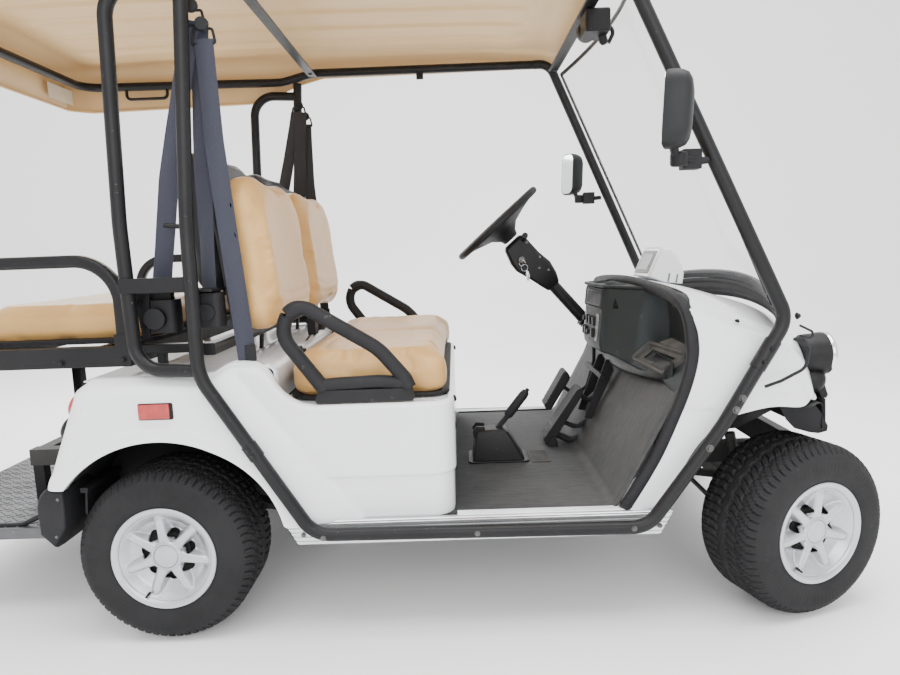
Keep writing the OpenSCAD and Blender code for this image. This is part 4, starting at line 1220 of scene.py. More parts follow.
RIBS_HOOD = {0: [(1392, 856), (1430, 848), (1480, 837), (1560, 813), (1640, 786), (1700, 752), (1735, 700),
                 (1748, 640), (1746, 566)], 250: [(1388, 850), (1426, 843), (1475, 832), (1556, 806), (1632, 780),
                                                  (1692, 744), (1727, 694), (1741, 636), (1742, 566)],
             430: [(1378, 838), (1420, 826), (1470, 812), (1552, 780), (1616, 752), (1666, 716), (1700, 668),
                   (1718, 620), (1724, 566)], }


def hood_point(u, v):
    """u across from right to left, v from the rear to the nose."""
    y = -535 + 1070 * u
    a = abs(y)
    side = chain_at(CREASE, v)
    ribs = [(0, chain_at(RIBS_HOOD[0], v)), (250, chain_at(RIBS_HOOD[250], v)), (430, chain_at(RIBS_HOOD[430], v)),
            (535, side)]
    ys = [-250] + [r[0] for r in ribs]
    ps = [ribs[1][1]] + [r[1] for r in ribs]
    i = max(k for k in range(1, 4) if ys[k] <= a + 1e-6)
    t = (a - ys[i]) / (ys[i + 1] - ys[i])

    def tangent(k):
        if k == len(ys) - 1:
            return (ps[k] - ps[k - 1]) / (ys[k] - ys[k - 1]) * 1.35
        return (ps[k + 1] - ps[k - 1]) / (ys[k + 1] - ys[k - 1])

    h = ys[i + 1] - ys[i]
    p = ((2 * t ** 3 - 3 * t ** 2 + 1) * ps[i] + (t ** 3 - 2 * t ** 2 + t) * h * tangent(i)
         + (-2 * t ** 3 + 3 * t ** 2) * ps[i + 1] + (t ** 3 - t ** 2) * h * tangent(i + 1))
    x, z = p
    inset = 34 * smooth((x - 1590) / 96) ** 1.4 * smooth((a - 330) / 205)
    raise_ = 7.0 * smooth((502 - a) / 7) * smooth((0.80 - v) / 0.1)
    return (x, y - math.copysign(inset, y) if a > 1 else y, z + raise_)


s = Shape().add(*grid(hood_point, 108, 70))
piece("cowl_hood", s, "white", angle=50, thick=-3.2)
# rolled lip round the lower edge of the nose
line = []
for k in range(61):
    x, y, z = hood_point(k / 60, 1.0)
    line.append((x - 2, y, z - 1))
s = Shape().add(*sweep(line, box_section(13, 12, 5, 3), flat=(0, 0, 1)))
piece("nose_lip", s, "white", angle=50)
# screws along the hood edge
s = Shape()
for side in (1, -1):
    for x, z in ((1470, 776), (1560, 738)):
        s.join(bolt((x, side * 528, z + 4), (0.2, side * 0.6, 1), 9, 5))
piece("hood_screws", s, "soft_black", angle=35)

# black liners of the front arches and the black skirt under the nose
s = Shape()
for side in (1, -1):
    arc = [(1330, 400), (1352, 470), (1400, 520), (1470, 548), (1560, 556), (1640, 552), (1716, 548), (1722, 480)]
    arc = [tuple(curve_at(arc, k / 40)) for k in range(41)]
    v = [(x, side * yy, z) for x, z in arc for yy in (242, 330, 420, 505, 532)]
    v = [(x, yy if x < 1660 else yy * (1 - 0.1 * (x - 1660) / 60), z) for x, yy, z in v]
    s.add(v, net(40, 4, 5))
    wall = [(x, side * 242, z) for x, z in arc] + [(1600, side * 242, 420)]
    s.add(wall, [(i, i + 1, 41) for i in range(40)])
piece("front_liners", s, "black", angle=50, thick=2)
s = Shape()
for side in (1, -1):
    flap = [(1600, 560), (1692, 560), (1722, 520), (1740, 486), (1738, 472), (1716, 466), (1690, 470), (1652, 482),
            (1630, 506)]
    s.add(*prism(flap, side * 470, side * 474))
sk = [(1742, 560), (1744, 520), (1746, 470), (1738, 448)]
v = []
for k in range(25):
    y = -474 + 948 * k / 24
    back = 26 * (abs(y) / 474) ** 3
    v += [(x - back * 0.6, y, max(z, 448 + back)) for x, z in sk]
s.add(v, net(24, 3, 4))
piece("nose_skirt", s, "soft_black", angle=40, thick=4)

# ---------------------------------------------------------------- lamps at the front

blk, chm, lns, refl = Shape(), Shape(), Shape(), Shape()
for side in (1, -1):
    at = np.array((1690.0, side * 420, 672))
    ax = (1, 0, 0)
    blk.add(*lathe([(44, -8), (52, 0), (54, 18), (55, 34), (57, 44), (57, 56), (50, 57), (48, 52)], at, ax, 48))
    chm.add(*lathe([(50, 50), (57, 55), (58.5, 60), (57.5, 66), (54, 69), (50.5, 68), (50, 60)], at, ax, 48))
    refl.add(*lathe([(0.0, 30), (14, 32), (30, 40), (44, 54), (50, 62)], at, ax, 48))
    lns.add(*lathe([(0.0, 76), (18, 75), (34, 72.5), (46, 69), (51, 66)], at, ax, 48))
    at = np.array((1704.0, side * 440, 606))
    blk.add(*lathe([(22, -20), (30, -8), (33, 12), (32, 22), (26, 30), (14, 34), (0.0, 35)], at, (1, 0, -0.22), 36))
    blk.add(*prism([(1700, 640), (1722, 640), (1748, 566), (1744, 556), (1728, 560)], side * 426, side * 456))
piece("headlamp_housings", blk, "black", nodes=["lamps"], bevel=2, angle=40)
piece("headlamp_rims", chm, "chrome", angle=50)
piece("headlamp_bowls", refl, "chrome", angle=60)
piece("headlamp_lenses", lns, "lens", angle=60, thick=2)

# ---------------------------------------------------------------- cushions


def pillow(name, outline, z0, z1, mat="vinyl", body="root", nodes=(), voxel=5.0, cap=26.0, pressure=4.0, place=None,
           shrink=5.0, after=None, frames=20):
    """A soft piece: an outline in its own XY between two heights, blown up as cloth and then set in place."""
    # the outline shrinks evenly so that the blown-up piece keeps its size
    pts = [np.array(p, float) for p in outline]
    n = len(pts)
    inner = []
    for i in range(n):
        a, b, c = pts[i - 1], pts[i], pts[(i + 1) % n]
        u, v = unit(b - a), unit(c - b)
        n1, n2 = np.array((-u[1], u[0])), np.array((-v[1], v[0]))
        inner.append(b + shrink * (n1 + n2) / (1 + n1 @ n2))
    h = z1 - z0
    r = min(24.0, h * 0.3)
    rows = []
    for k in range(4):
        a = math.radians(90 * k / 3)
        rows.append((r * (1 - math.sin(a)), z0 + shrink * 0.4 + r * (1 - math.cos(a))))
    for k in range(4):
        a = math.radians(90 * k / 3)
        rows.append((r * (1 - math.cos(a)), z1 - shrink * 0.8 - r * (1 - math.sin(a))))
    verts, faces = [], []
    for inset_by, z in rows:
        for i in range(n):
            a, b, c = inner[i - 1], inner[i], inner[(i + 1) % n]
            u, v = unit(b - a), unit(c - b)
            n1, n2 = np.array((-u[1], u[0])), np.array((-v[1], v[0]))
            p = b + inset_by * (n1 + n2) / (1 + n1 @ n2)
            verts.append((p[0], p[1], z))
    m = len(rows)
    faces += ring_net(m - 1, n)
    faces += [tuple(range(n - 1, -1, -1)), tuple((m - 1) * n + i for i in range(n))]
    s = Shape().add(verts, faces)
    me = bpy.data.meshes.new(name)
    me.from_pydata([Vector(p) * MM for p in s.v], [], s.f)
    src = bpy.data.objects.new(name + "_source", me)
    bpy.context.scene.collection.objects.link(src)
    rem = src.modifiers.new("remesh", "REMESH")
    rem.mode = "VOXEL"
    rem.voxel_size = voxel * MM
    dg = bpy.context.evaluated_depsgraph_get()
    even = bpy.data.meshes.new_from_object(src.evaluated_get(dg))
    bpy.data.objects.remove(src)
    rest = np.array([v.co[:] for v in even.vertices])
    now = rest
    soft = bpy.data.objects.new(name + "_soft", even.copy())
    bpy.context.scene.collection.objects.link(soft)
    c = soft.modifiers.new("cloth", "CLOTH")
    c.settings.quality = 4
    c.settings.mass = 0.3
    c.settings.use_pressure = True
    c.settings.uniform_pressure_force = pressure
    c.settings.effector_weights.gravity = 0
    c.settings.tension_stiffness = c.settings.compression_stiffness = 22
    c.settings.shear_stiffness = 10
    c.settings.bending_stiffness = 1.2
    c.settings.tension_damping = c.settings.compression_damping = 8
    c.collision_settings.use_collision = False
    c.collision_settings.use_self_collision = False
    c.point_cache.frame_start, c.point_cache.frame_end = 1, frames
    for f in range(1, frames + 1):
        bpy.context.scene.frame_set(f)
        dg = bpy.context.evaluated_depsgraph_get()
        soft.evaluated_get(dg).to_mesh()
    blown = bpy.data.meshes.new_from_object(soft.evaluated_get(bpy.context.evaluated_depsgraph_get()))
    now = np.array([v.co[:] for v in blown.vertices])
    bpy.data.objects.remove(soft)
    bpy.context.scene.frame_set(1)
    move = now - rest
    size = np.linalg.norm(move, axis=1)
    top = cap * MM
    move *= (np.minimum(size, top) / np.maximum(size, 1e-9))[:, None]
    now = rest + move
    pts = now / MM
    if after:
        pts = after(pts, rest / MM)
    if place is not None:
        pts = np.array([place @ Vector(p) for p in pts])
    even.vertices.foreach_set("co", np.array([P(p)[:] for p in pts]).ravel())
    even.update()
    even.materials.clear()
    even.materials.append(M[mat])
    for p in even.polygons:
        p.use_smooth = True
        p.material_index = 0
    o = bpy.data.objects.new(name, even)
    bpy.context.scene.collection.objects.link(o)
    sub = o.modifiers.new("sub", "SUBSURF")
    sub.levels = sub.render_levels = 1
    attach(o, body)
    if nodes:
        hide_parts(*nodes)
    return o


def seat_after(*creases):
    """A pinched band above the base board and a few pulled folds."""

    def shape(p, rest):
        out = p.copy()
        lo = rest[:, 2].min()
        hi = rest[:, 2].max()
        for i in range(len(p)):
            x, y, z = rest[i]
            # gathered edge above the board
            low = 1 - min(max((z - lo) / 16, 0), 1)
            out[i, 2] += 2.0 * low
            for f in creases:
                out[i] += f(x, y, z, lo, hi)
        return out

    return shape


def front_seat_fold(x, y, z, lo, hi):
    """The worn hollows and the raised middle roll of the front cushion."""
    top = smooth((z - (hi - 34)) / 24)
    d = 0.0
    for c in (-245, 245):
        u = math.hypot((x - 505) / 190, (y - c) / 205)
        d -= 9.0 * smooth(1.15 - u)
        for x0, bend, amp, w in ((350, 26, 3.0, 12), (388, 40, 2.2, 9), (430, 60, 1.8, 8),
                                 (640, -30, 2.0, 10)):
            line = x0 + bend * ((y - c) / 230) ** 2
            d -= amp * math.exp(-((x - line) / w) ** 2) * smooth((235 - abs(y - c)) / 60)
    d += 5.0 * math.exp(-(y / 26) ** 2) * smooth((x - 330) / 60)
    d -= 3.5 * (math.exp(-((abs(y) - 46) / 12) ** 2)) * smooth((x - 330) / 60)
    return np.array((0, 0, d * top))


x0, x1 = 302.0, 747.0
seat_line = []
for cx, cy, r, a0, a1 in ((x1 - 58, 490 - 58, 58, 0, 90), (x0 + 84, 490 - 84, 84, 90, 180),
                          (x0 + 84, -490 + 84, 84, 180, 270), (x1 - 58, -490 + 58, 58, 270, 360)):
    for k in range(9):
        a = math.radians(a0 + (a1 - a0) * k / 8)
        seat_line.append((cx + r * math.cos(a), cy + r * math.sin(a)))
pillow("seat_cushion_pad", seat_line, 612, 708, body="seat_lid", nodes=["seat_cushion"], cap=24, shrink=1.5, voxel=7,
       after=seat_after(front_seat_fold))
s = Shape()
v, f = slab([(x, y) for x, y in seat_line], 606, 612)
board = [((x - 525) * 0.975 + 525, y * 0.98) for x, y in seat_line]
s.add(*slab(board, 604.5, 613))
piece("seat_cushion_board", s, "soft_black", body="seat_lid", bevel=2)
s = Shape()
for side in (1, -1):
    for a, b in ((245, 285),):
        s.add(*block(300, 322, min(side * a, side * b), max(side * a, side * b), 606, 700))
        s.add(*block(290, 316, min(side * a, side * b), max(side * a, side * b), 700, 709))
        s.add(*lathe([(0.0, 0), (5, 0), (5, 73), (0.0, 73)], (298, side * 226, 711), (0, side, 0), 16))
piece("seat_cushion_hinges", s, "soft_black", body="seat_lid", angle=35)

LEAN = Matrix.Translation((206, 0, 770)) @ Matrix.Rotation(math.radians(-6), 4, "Y")
REAR_LEAN = Matrix.Translation((188, 0, 880)) @ Matrix.Rotation(math.radians(-6), 4, "Y")
# the pad is modelled lying down: its own X runs up the back, Y across and Z forwards
STAND = Matrix(((0, 0, 1, 0), (0, 1, 0, 0), (1, 0, 0, 0), (0, 0, 0, 1)))


def lobe_line(y0, y1, h, r_top, r_low):
    out = []
    for cx, cy, r, a0, a1 in ((h - r_top, y1 - r_top, r_top, 0, 90), (r_low, y1 - r_low, r_low, 90, 180),
                              (r_low, y0 + r_low, r_low, 180, 270), (h - r_top, y0 + r_top, r_top, 270, 360)):
        for k in range(9):
            a = math.radians(a0 + (a1 - a0) * k / 8)
            out.append((cx + r * math.cos(a), cy + r * math.sin(a)))
    return out


def lobe_fold(mid, half, h):
    def f(x, y, z, lo, hi):
        front = smooth((z - (lo + hi) / 2 - 4) / 18)
        d = -6.0 * smooth(1.15 - math.hypot((x - h * 0.52) / (h * 0.42), (y - mid) / (half * 0.8)))
        for x0, amp, w, bend in ((64, 2.4, 9, 12), (96, 1.6, 7, 22), (h - 70, 1.8, 9, -14)):
            line = x0 + bend * ((y - mid) / half) ** 2
            d -= amp * math.exp(-((x - line) / w) ** 2)
        return np.array((0, 0, d * front))
    return f


for y0, y1, tag in ((-496, -12, "right"), (12, 496, "left")):
    pillow("front_back_pad_" + tag, lobe_line(y0, y1, 440, 105, 70), 8, 86, nodes=["front_backrest"], cap=24,
           shrink=4, voxel=7, place=LEAN @ STAND, after=seat_after(lobe_fold((y0 + y1) / 2, 240, 440)))
    pillow("rear_back_pad_" + tag, lobe_line(y0 * 0.965, y1 * 0.965, 412, 100, 60), -92, -30, mat="shell",
           nodes=["rear_backrest"], cap=20, shrink=5, voxel=8, place=REAR_LEAN @ STAND)
    # grey shells behind the pads
    for name, base, off, h, top in (("front_shell_", LEAN, -20, 452, 110),):
        line = lobe_line(y0 + 6, y1 - 6, h, top, 80)
        m = base @ STAND @ Matrix.Translation((2, 0, off))
        cy = (y0 + y1) / 2
        v, f = [], []
        nl = len(line)
        for k, (sc, z) in enumerate(((0.985, 30), (1.0, 24), (1.0, 14), (0.985, 6), (0.95, 0), (0.85, -6),
                                     (0.6, -10), (0.25, -12))):
            for x, y in line:
                v.append(tuple(m @ Vector(((x - 225) * sc + 225, (y - cy) * sc + cy, z))))
        f = ring_net(7, nl)
        f += [tuple(range(nl - 1, -1, -1)), tuple(7 * nl + i for i in range(nl))]
        piece(name + tag, Shape().add(v, f), "shell", angle=50)

rear_line = rounded(-528, -26, -462, 462, 60, 8)


def rear_seat_fold(x, y, z, lo, hi):
    """Two shallow worn hollows in the rear bench's top."""
    hollow = smooth(1.2 - math.hypot((x + 270) / 230, (abs(y) - 220) / 200))
    return np.array((0, 0, -5 * smooth((z - hi + 30) / 20) * hollow))


pillow("rear_seat_pad", rear_line, 781, 857, nodes=["rear_seat_cushion"], cap=22, shrink=4, voxel=7,
       after=seat_after(rear_seat_fold))
s = Shape().add(*slab(rounded(-521, -32, -456, 456, 54, 8), 769.5, 782))
piece("rear_seat_board", s, "soft_black", bevel=2)

# ---------------------------------------------------------------- rear bench frame, hip restraints

s = Shape()
for side in (1, -1):
    s.add(*block(-560, -70, min(side * 482, side * 518), max(side * 482, side * 518), 716, 768))
    s.add(*block(-262, -240, min(side * 430, side * 460), max(side * 430, side * 460), 424, 716))
    s.add(*block(-262, -240, min(side * 197, side * 460), max(side * 197, side * 460), 424, 440))
    s.add(*block(-30, -8, min(side * 440, side * 462), max(side * 440, side * 462), 690, 742))
    s.add(*block(-120, 150, min(side * 455, side * 485), max(side * 455, side * 485), 742, 766))
s.add(*block(-560, -524, -500, 500, 716, 768))
s.add(*block(-106, -70, -500, 500, 716, 768))
s.add(*block(-262, -240, -460, 460, 716, 746))
piece("rear_bench_bars", s, "tube", nodes=["rear_seat_frame"], bevel=3, segs=2)
s = Shape()
for side in (1, -1):
    path = [(-90, side * 500, 762), (-90, side * 500, 988), (-520, side * 500, 988), (-520, side * 500, 762)]
    s.add(*sweep(fillet(path, [110, 110], 7), box_section(32, 32, 9, 4), flat=(0, 1, 0)))
    s.add(*block(-108, -72, min(side * 482, side * 519), max(side * 482, side * 519), 745, 800))
piece("rear_bench_rails", s, "tube", angle=35)
s = Shape()
for side in (1, -1):
    for x, z in ((-90, 735), (-250, 730), (-480, 735), (-540, 735)):
        s.join(bolt((x, side * 518, z), (0, side, 0), 13, 7))
piece("rear_bench_bolts", s, "tube", angle=35)

# frame of the front backrest and the bar behind the cushion
s = Shape()
for y in (-330, -140, 140, 330):
    s.add(*sweep(fillet([(150, y, 690), (160, y, 800), (186, y, 1180)], [200], 10), box_section(22, 10, 3, 2),
                 flat=(0, 1, 0)))
s.add(*sweep([(176, -470, 900), (176, 470, 900)], box_section(26, 26, 4, 2), flat=(1, 0, 0)))
s.add(*sweep([(188, -440, 1060), (188, 440, 1060)], box_section(22, 22, 4, 2), flat=(1, 0, 0)))
s.add(*sweep([(150, -560, 760), (150, 560, 760)], box_section(30, 30, 4, 2), flat=(1, 0, 0)))
piece("seat_back_frame", s, "tube", angle=35)


def restraint():
    arch = [(640, 528, 640), (630, 528, 664), (566, 528, 742), (366, 528, 866), (312, 528, 796), (424, 528, 640)]
    line = fillet(arch, [26, 150, 44, 70], 6)
    out = Shape()
    scale = []
    for i in range(len(line)):
        t = i / (len(line) - 1)
        g = 1.0 + 0.14 * smooth((t - 0.35) / 0.15) * smooth((0.72 - t) / 0.15)
        scale.append((g, g))
    out.add(*sweep(line, ring(37, 20), scale=scale))
    out.add(*sweep([(414, 528, 652), (470, 528, 655), (560, 528, 658), (636, 528, 652)], ring(34, 20)))
    v, f = prism([(404, 607), (648, 607), (654, 616), (646, 640), (410, 640), (400, 616)], 510, 540)
    out.add(v, f)
    return out


s = restraint()
piece("hip_restraint_left", s, "soft_black", nodes=["hip_restraints"], angle=42)
piece("hip_restraint_right", restraint().flipped(), "soft_black", nodes=["hip_restraints"], angle=42)

# ---------------------------------------------------------------- belts


def strap(line, w=47, t=1.6, flat=(1, 0, 0), twist=0.0, fold=0.0):
    """A woven belt: a slightly cupped ribbon with rolled edges along a line."""
    n = 9
    pts = fillet(line, [260] * (len(line) - 2), 6) if len(line) > 2 else [np.asarray(p, float) for p in line]
    fine = []
    for a, b in zip(pts[:-1], pts[1:]):
        m = max(1, int(np.linalg.norm(b - a) / 14))
        fine += [a + (b - a) * k / m for k in range(m)]
    fine.append(pts[-1])
    count = len(fine)
    verts = []
    for i, p in enumerate(fine):
        a = fine[max(i - 1, 0)]
        b = fine[min(i + 1, count - 1)]
        d = unit(b - a)
        s_ = np.asarray(flat, float)
        s_ = unit(s_ - (s_ @ d) * d)
        up = np.cross(d, s_)
        g = i / (count - 1)
        a_ = twist * g + 0.12 * math.sin(g * 9)
        s2 = math.cos(a_) * s_ + math.sin(a_) * up
        u2 = np.cross(d, s2)
        for face in (1, -1):
            for k in range(n):
                q = (k / (n - 1) - 0.5)
                cup = fold * (math.cos(math.pi * q) - 0.6) + 1.2 * math.sin(g * 17 + q * 3)
                half = t / 2 * (1 - 0.75 * abs(2 * q) ** 6)
                verts.append(p + s2 * q * w * face + u2 * (cup + half * face))
    k = 2 * n
    faces = ring_net(count - 1, k)
    faces += [tuple(range(k - 1, -1, -1)), tuple((count - 1) * k + m for m in range(k))]
    return verts, faces


BELTS = [
    ([(158, 528, 1545), (70, 520, 1180), (14, 500, 892)], 46, 0.3, 5),
    ([(176, 522, 1545), (150, 505, 1200), (138, 500, 902)], 46, -0.35, 3),
    ([(188, 534, 1500), (190, 522, 1260), (226, 508, 722)], 46, 0.5, 4),
]
for side, tag, mat in ((1, "left", "belt_black"), (-1, "right", "belt")):
    s = Shape()
    for line, w, tw, fold in BELTS:
        s.add(*strap([(x, side * y, z) for x, y, z in line], w, 1.8, twist=side * tw, fold=fold))
    o = piece("belt_webbing_" + tag, s, mat, nodes=["seat_belts"], angle=60)
    s = Shape()
    for x0, x1, y0, y1, z0, z1, r in ((-38, 58, 470, 528, 800, 884, 16), (112, 176, 482, 540, 812, 898, 16)):
        v, f = slab(rounded(x0, x1, y0, y1, r, 4), z0, z1)
        s.add([(x, side * y, z) for x, y, z in v], f)
    # slotted covers of the retractors, guide loops on the post and the buckle ends
    s.add(*lathe([(0.0, 0), (24, 0), (27, 5), (27, 15), (0.0, 15)], (10, side * 528, 838), (0, side, 0), 24))
    s.add(*lathe([(0.0, 0), (18, 0), (21, 4), (21, 10), (0.0, 10)], (144, side * 540, 850), (0, side, 0), 24))
    for x, z in ((166, 1540), (188, 1498)):
        loop = [(x - 28, side * 530, z - 8), (x + 28, side * 530, z - 8), (x + 22, side * 530, z + 26),
                (x - 22, side * 530, z + 26)]
        s.add(*tube(loop + [loop[0]], [6, 6, 6], 7, n=8))
        s.add(*lathe([(0.0, 0), (15, 0), (17, 4), (15, 11), (0.0, 12)], (x, side * 535, z + 34), (0.2, side, 0), 18))
    s.add(*block(212, 246, min(side * 498, side * 512), max(side * 498, side * 512), 716, 760))
    s.add(*block(-14, 44, min(side * 488, side * 512), max(side * 488, side * 512), 884, 900))
    s.add(*block(116, 166, min(side * 494, side * 516), max(side * 494, side * 516), 896, 910))
    piece("belt_fittings_" + tag, s, "soft_black", bevel=2.5, angle=32)
    s = Shape()
    s.add(*block(-24, 170, min(side * 474, side * 566), max(side * 474, side * 566), 903, 909))
    s.add(*prism([(-40, 906), (-26, 790), (-8, 790), (0, 906)], side * 530, side * 534))
    s.add(*prism([(96, 906), (100, 800), (124, 800), (130, 906)], side * 540, side * 544))
    for x, y, z in ((-30, 534, 880), (-20, 534, 820), (112, 544, 880)):
        s.join(bolt((x, side * y, z), (0, side, 0), 14, 8))
    piece("belt_brackets_" + tag, s, "tube", angle=35)
    # short receiver straps and buckles in the middle of the seats
    s = Shape()
    s.add(*strap([(268, side * 60, 700), (300, side * 62, 742)], 40, 3, flat=(0, 1, 0), fold=2))
    s.add(*block(286, 312, min(side * 42, side * 82), max(side * 42, side * 82), 728, 782))
    piece("belt_buckles_" + tag, s, "soft_black", bevel=3, angle=35)

# loop handle on the roof tube at the rear
s = Shape()
for side in (1, -1):
    loop = [(-526, side * 556, 1668), (-526, side * 552, 1626), (-362, side * 552, 1626), (-362, side * 556, 1668)]
    s.add(*tube(loop, [18, 18], 12, n=12))
piece("roof_grab_handles", s, "tube", angle=35)
# short high stud on the far side and near side behind the posts
s = Shape()
for side in (1, -1):
    h = Shape()
    path = [(126, side * 548, 1060), (60, side * 548, 1068)]
    s.add(*tube(path, [], 12, n=12))
piece("post_studs", s, "tube", angle=35)

# ---------------------------------------------------------------- dash

TRIM = [(1186, 541, 303), (1240, 541, 392), (1281, 541, 470), (1333, 541, 600), (1355, 540, 687), (1354, 537, 750),
        (1349, 529, 792), (1343, 508, 822), (1338, 466, 840), (1336, 380, 852), (1334, 200, 862), (1333, 0, 866)]


def dash_trim():
    """The wide dark moulding round the opening of the cowl, from sill to sill."""
    full = TRIM + [(x, -y, z) for x, y, z in reversed(TRIM[:-1])]
    pts = [np.array(curve_at(full, k / 220)) for k in range(221)]
    verts, n = [], 10
    sec = [(-13, 2), (-12, 8), (-6, 11), (4, 11.5), (12, 9), (15, 3), (15, -8), (6, -22), (-6, -24), (-13, -18)]
    for i, p in enumerate(pts):
        t = unit(pts[min(i + 1, 220)] - pts[max(i - 1, 0)])
        # out points away from the opening, across points to the rear
        out_ = np.array((0, math.copysign((abs(p[1]) / 541) ** 3, p[1]), max(0.0, (p[2] - 640) / 226) ** 2.5 + 0.001))
        out_ = unit(out_ - (out_ @ t) * t)
        across = np.cross(t, out_)
        if across[0] > 0:
            across = -across
        verts += [p + a * across + b * out_ for a, b in sec]
    f = ring_net(220, n)
    f += [tuple(range(n)), tuple(220 * n + m for m in range(n - 1, -1, -1))]
    return Shape().add(verts, f)


piece("dash_trim", dash_trim(), "soft_black", angle=42)

DASH = {
    0: [(1320, 640), (1285, 640), (1244, 640), (1222, 651), (1222, 668), (1224, 700), (1226, 742), (1229, 790),
        (1233, 834), (1240, 850), (1290, 854), (1350, 858)],
    131: [(1320, 634), (1286, 632), (1244, 640), (1223, 651), (1222, 668), (1224, 700), (1227, 742), (1230, 790),
          (1234, 834), (1242, 850), (1290, 854), (1350, 858)],
    246: [(1322, 612), (1306, 612), (1288, 620), (1279, 630), (1279, 646), (1291, 690), (1304, 742), (1318, 790),
          (1331, 832), (1340, 844), (1346, 850), (1356, 855)],
    262: [(1322, 610), (1308, 609), (1291, 616), (1283, 626), (1283, 638), (1296, 656), (1334, 688), (1380, 700),
          (1386, 745), (1384, 800), (1378, 838), (1356, 854)],
    430: [(1334, 598), (1334, 602), (1324, 606), (1316, 614), (1316, 622), (1324, 634), (1346, 660), (1396, 698),
          (1406, 745), (1404, 796), (1390, 834), (1352, 848)],
    524: [(1348, 570), (1340, 572), (1331, 578), (1325, 588), (1325, 598), (1332, 618), (1346, 650), (1360, 694),
          (1362, 745), (1360, 790), (1354, 812), (1346, 822)],
}


def dash_point(u, v):
    y = -522 + 1044 * u
    a = abs(y)
    keys = sorted(DASH)
    prof = []
    for i in range(12):
        xs = table([(k, DASH[k][i][0]) for k in keys], a)
        zs = table([(k, DASH[k][i][1]) for k in keys], a)
        prof.append((xs, zs))
    x, z = curve_at(prof, v)
    return (x, y, z)


s = Shape().add(*grid(dash_point, 132, 67))
piece("dash_body", s, "dash", nodes=["dashboard"], angle=45, thick=-3)

# centre block with the cup holes, the slot, the grey switch panel and its slanted cheeks


CHEEK = [(-131, 0), (-118, -4), (-60, -12), (0, -15), (60, -14), (118, -6), (131, 0)]


def face_x(y, z):
    """Rear face of the centre block, which swells towards the seats."""
    flat = table([(640, 1236), (651, 1222), (668, 1220), (742, 1226), (790, 1229), (834, 1233), (852, 1240)], z)
    return flat + table(CHEEK, y) * table([(640, 0.6), (692, 1.2), (742, 1.0), (852, 0.7)], z) - 2


def console():
    def at(u, v):
        y, z = -131 + 262 * u, 641 + 211 * v
        edge = smooth((131 - abs(y)) / 8)
        part = 2.0 * math.exp(-((z - 744) / 2.5) ** 2)
        return (face_x(y, z) + 9 * (1 - edge) + part, y, z)
    return Shape().add(*grid(at, 60, 70))


def plate_with_holes(x0, x1, y0, y1, z, holes):
    """A flat top with round holes."""
    s = Shape()
    nx, ny = 44, 70
    xs, ys = np.linspace(x0, x1, nx), np.linspace(y0, y1, ny)
    idx = {}

    def at(i, j):
        if (i, j) not in idx:
            p = np.array((xs[i], ys[j]))
            for c, r in holes:
                d = np.linalg.norm(p - c)
                if r - 6 < d < r + 6:
                    p = c + (p - c) / d * r
            idx[(i, j)] = len(s.v)
            s.v.append((p[0], p[1], z))
        return idx[(i, j)]

    for i in range(nx - 1):
        for j in range(ny - 1):
            m = np.array(((xs[i] + xs[i + 1]) / 2, (ys[j] + ys[j + 1]) / 2))
            if any(np.linalg.norm(m - c) < r - 1 for c, r in holes):
                continue
            s.f.append((at(i, j), at(i + 1, j), at(i + 1, j + 1), at(i, j + 1)))
    return s


piece("dash_console", console(), "dash", angle=40, thick=-3)
holes = [(np.array((1280.0, -66)), 38.0), (np.array((1280.0, 62)), 38.0)]
top = plate_with_holes(1232, 1346, -142, 142, 854, holes)
piece("dash_console_top", top, "dash", angle=40, thick=3)
s = Shape()
for c, r in holes:
    s.add(*lathe([(r + 3.5, 1), (r + 2.5, 4), (r, 4.6), (r - 2, 3), (r - 3.5, -58),
                  (0.0, -58)], (c[0], c[1], 852), (0, 0, 1), 36))
s.f = [f for f in s.f if len(f) == 4]
piece("dash_cups", s, "soft_black", angle=40, thick=2)
# raised rim of the console top with its notch
s = Shape()
rim_line = [(1340, -236, 850), (1252, -142, 852), (1234, -122, 852), (1224, -40, 852), (1222, 60, 852),
            (1224, 118, 852), (1252, 142, 852), (1340, 236, 850)]
s.add(*sweep(fillet(rim_line, [20, 14, 60, 60, 14, 20], 12), box_section(9, 18, 3), flat=(0, 0, 1)))
piece("dash_console_rim", s, "dash", angle=35)
# painted shade: flat black sheets on the console face fill the slot and the two cheek pockets where their shaded depth
# would be
s = Shape()
s.add(*grid(lambda u, v: (face_x(-108 + 214 * u, 786 + 52 * v) - 1.2, -108 + 214 * u, 786 + 52 * v), 30, 8))
for side in (1, -1):
    v = []
    for x, y in ((1256, 156), (1282, 184)):
        for z in (786, 848):
            v.append((x + (z - 786) * 0.20 - 7, side * (y + 2), z))
    s.add(v, [(0, 1, 3, 2)])
piece("dash_recess_painted_shade", s, "black", thick=1.0)
# frame round the slot
s = Shape()
loop = [(-112, 782), (-112, 842), (112, 842), (112, 782), (-112, 782)]
line = []
for (ya, za), (yb, zb) in zip(loop[:-1], loop[1:]):
    for q in range(14):
        y, z = ya + (yb - ya) * q / 14, za + (zb - za) * q / 14
        line.append((face_x(y, z) - 1, y, z))
s.add(*sweep(line, box_section(8, 6, 2), flat=(1, 0, 0), closed=True))
for side in (1, -1):
    s.add(*sweep([(1231, side * 133, 744), (1264, side * 170, 746), (1330, side * 243, 832)],
                 box_section(2.5, 2.5, 0.8, 1), flat=(1, 0, 0)))
    loop = [(1254, side * 155, 786), (1281, side * 184, 786), (1293, side * 184, 848)]
    s.add(*sweep(loop, box_section(4, 4, 1), flat=(0, 1, 0)))
piece("dash_slot_frame", s, "dash", angle=35)
s = Shape()
v, f = slab(rounded(-100, 88, 676, 764, 8, 4), 0, 7)
s.add([(face_x(y, z) + 4 - w, y, z) for y, z, w in v], f)
piece("switch_plate", s, "switch", bevel=1.5)
s = Shape()
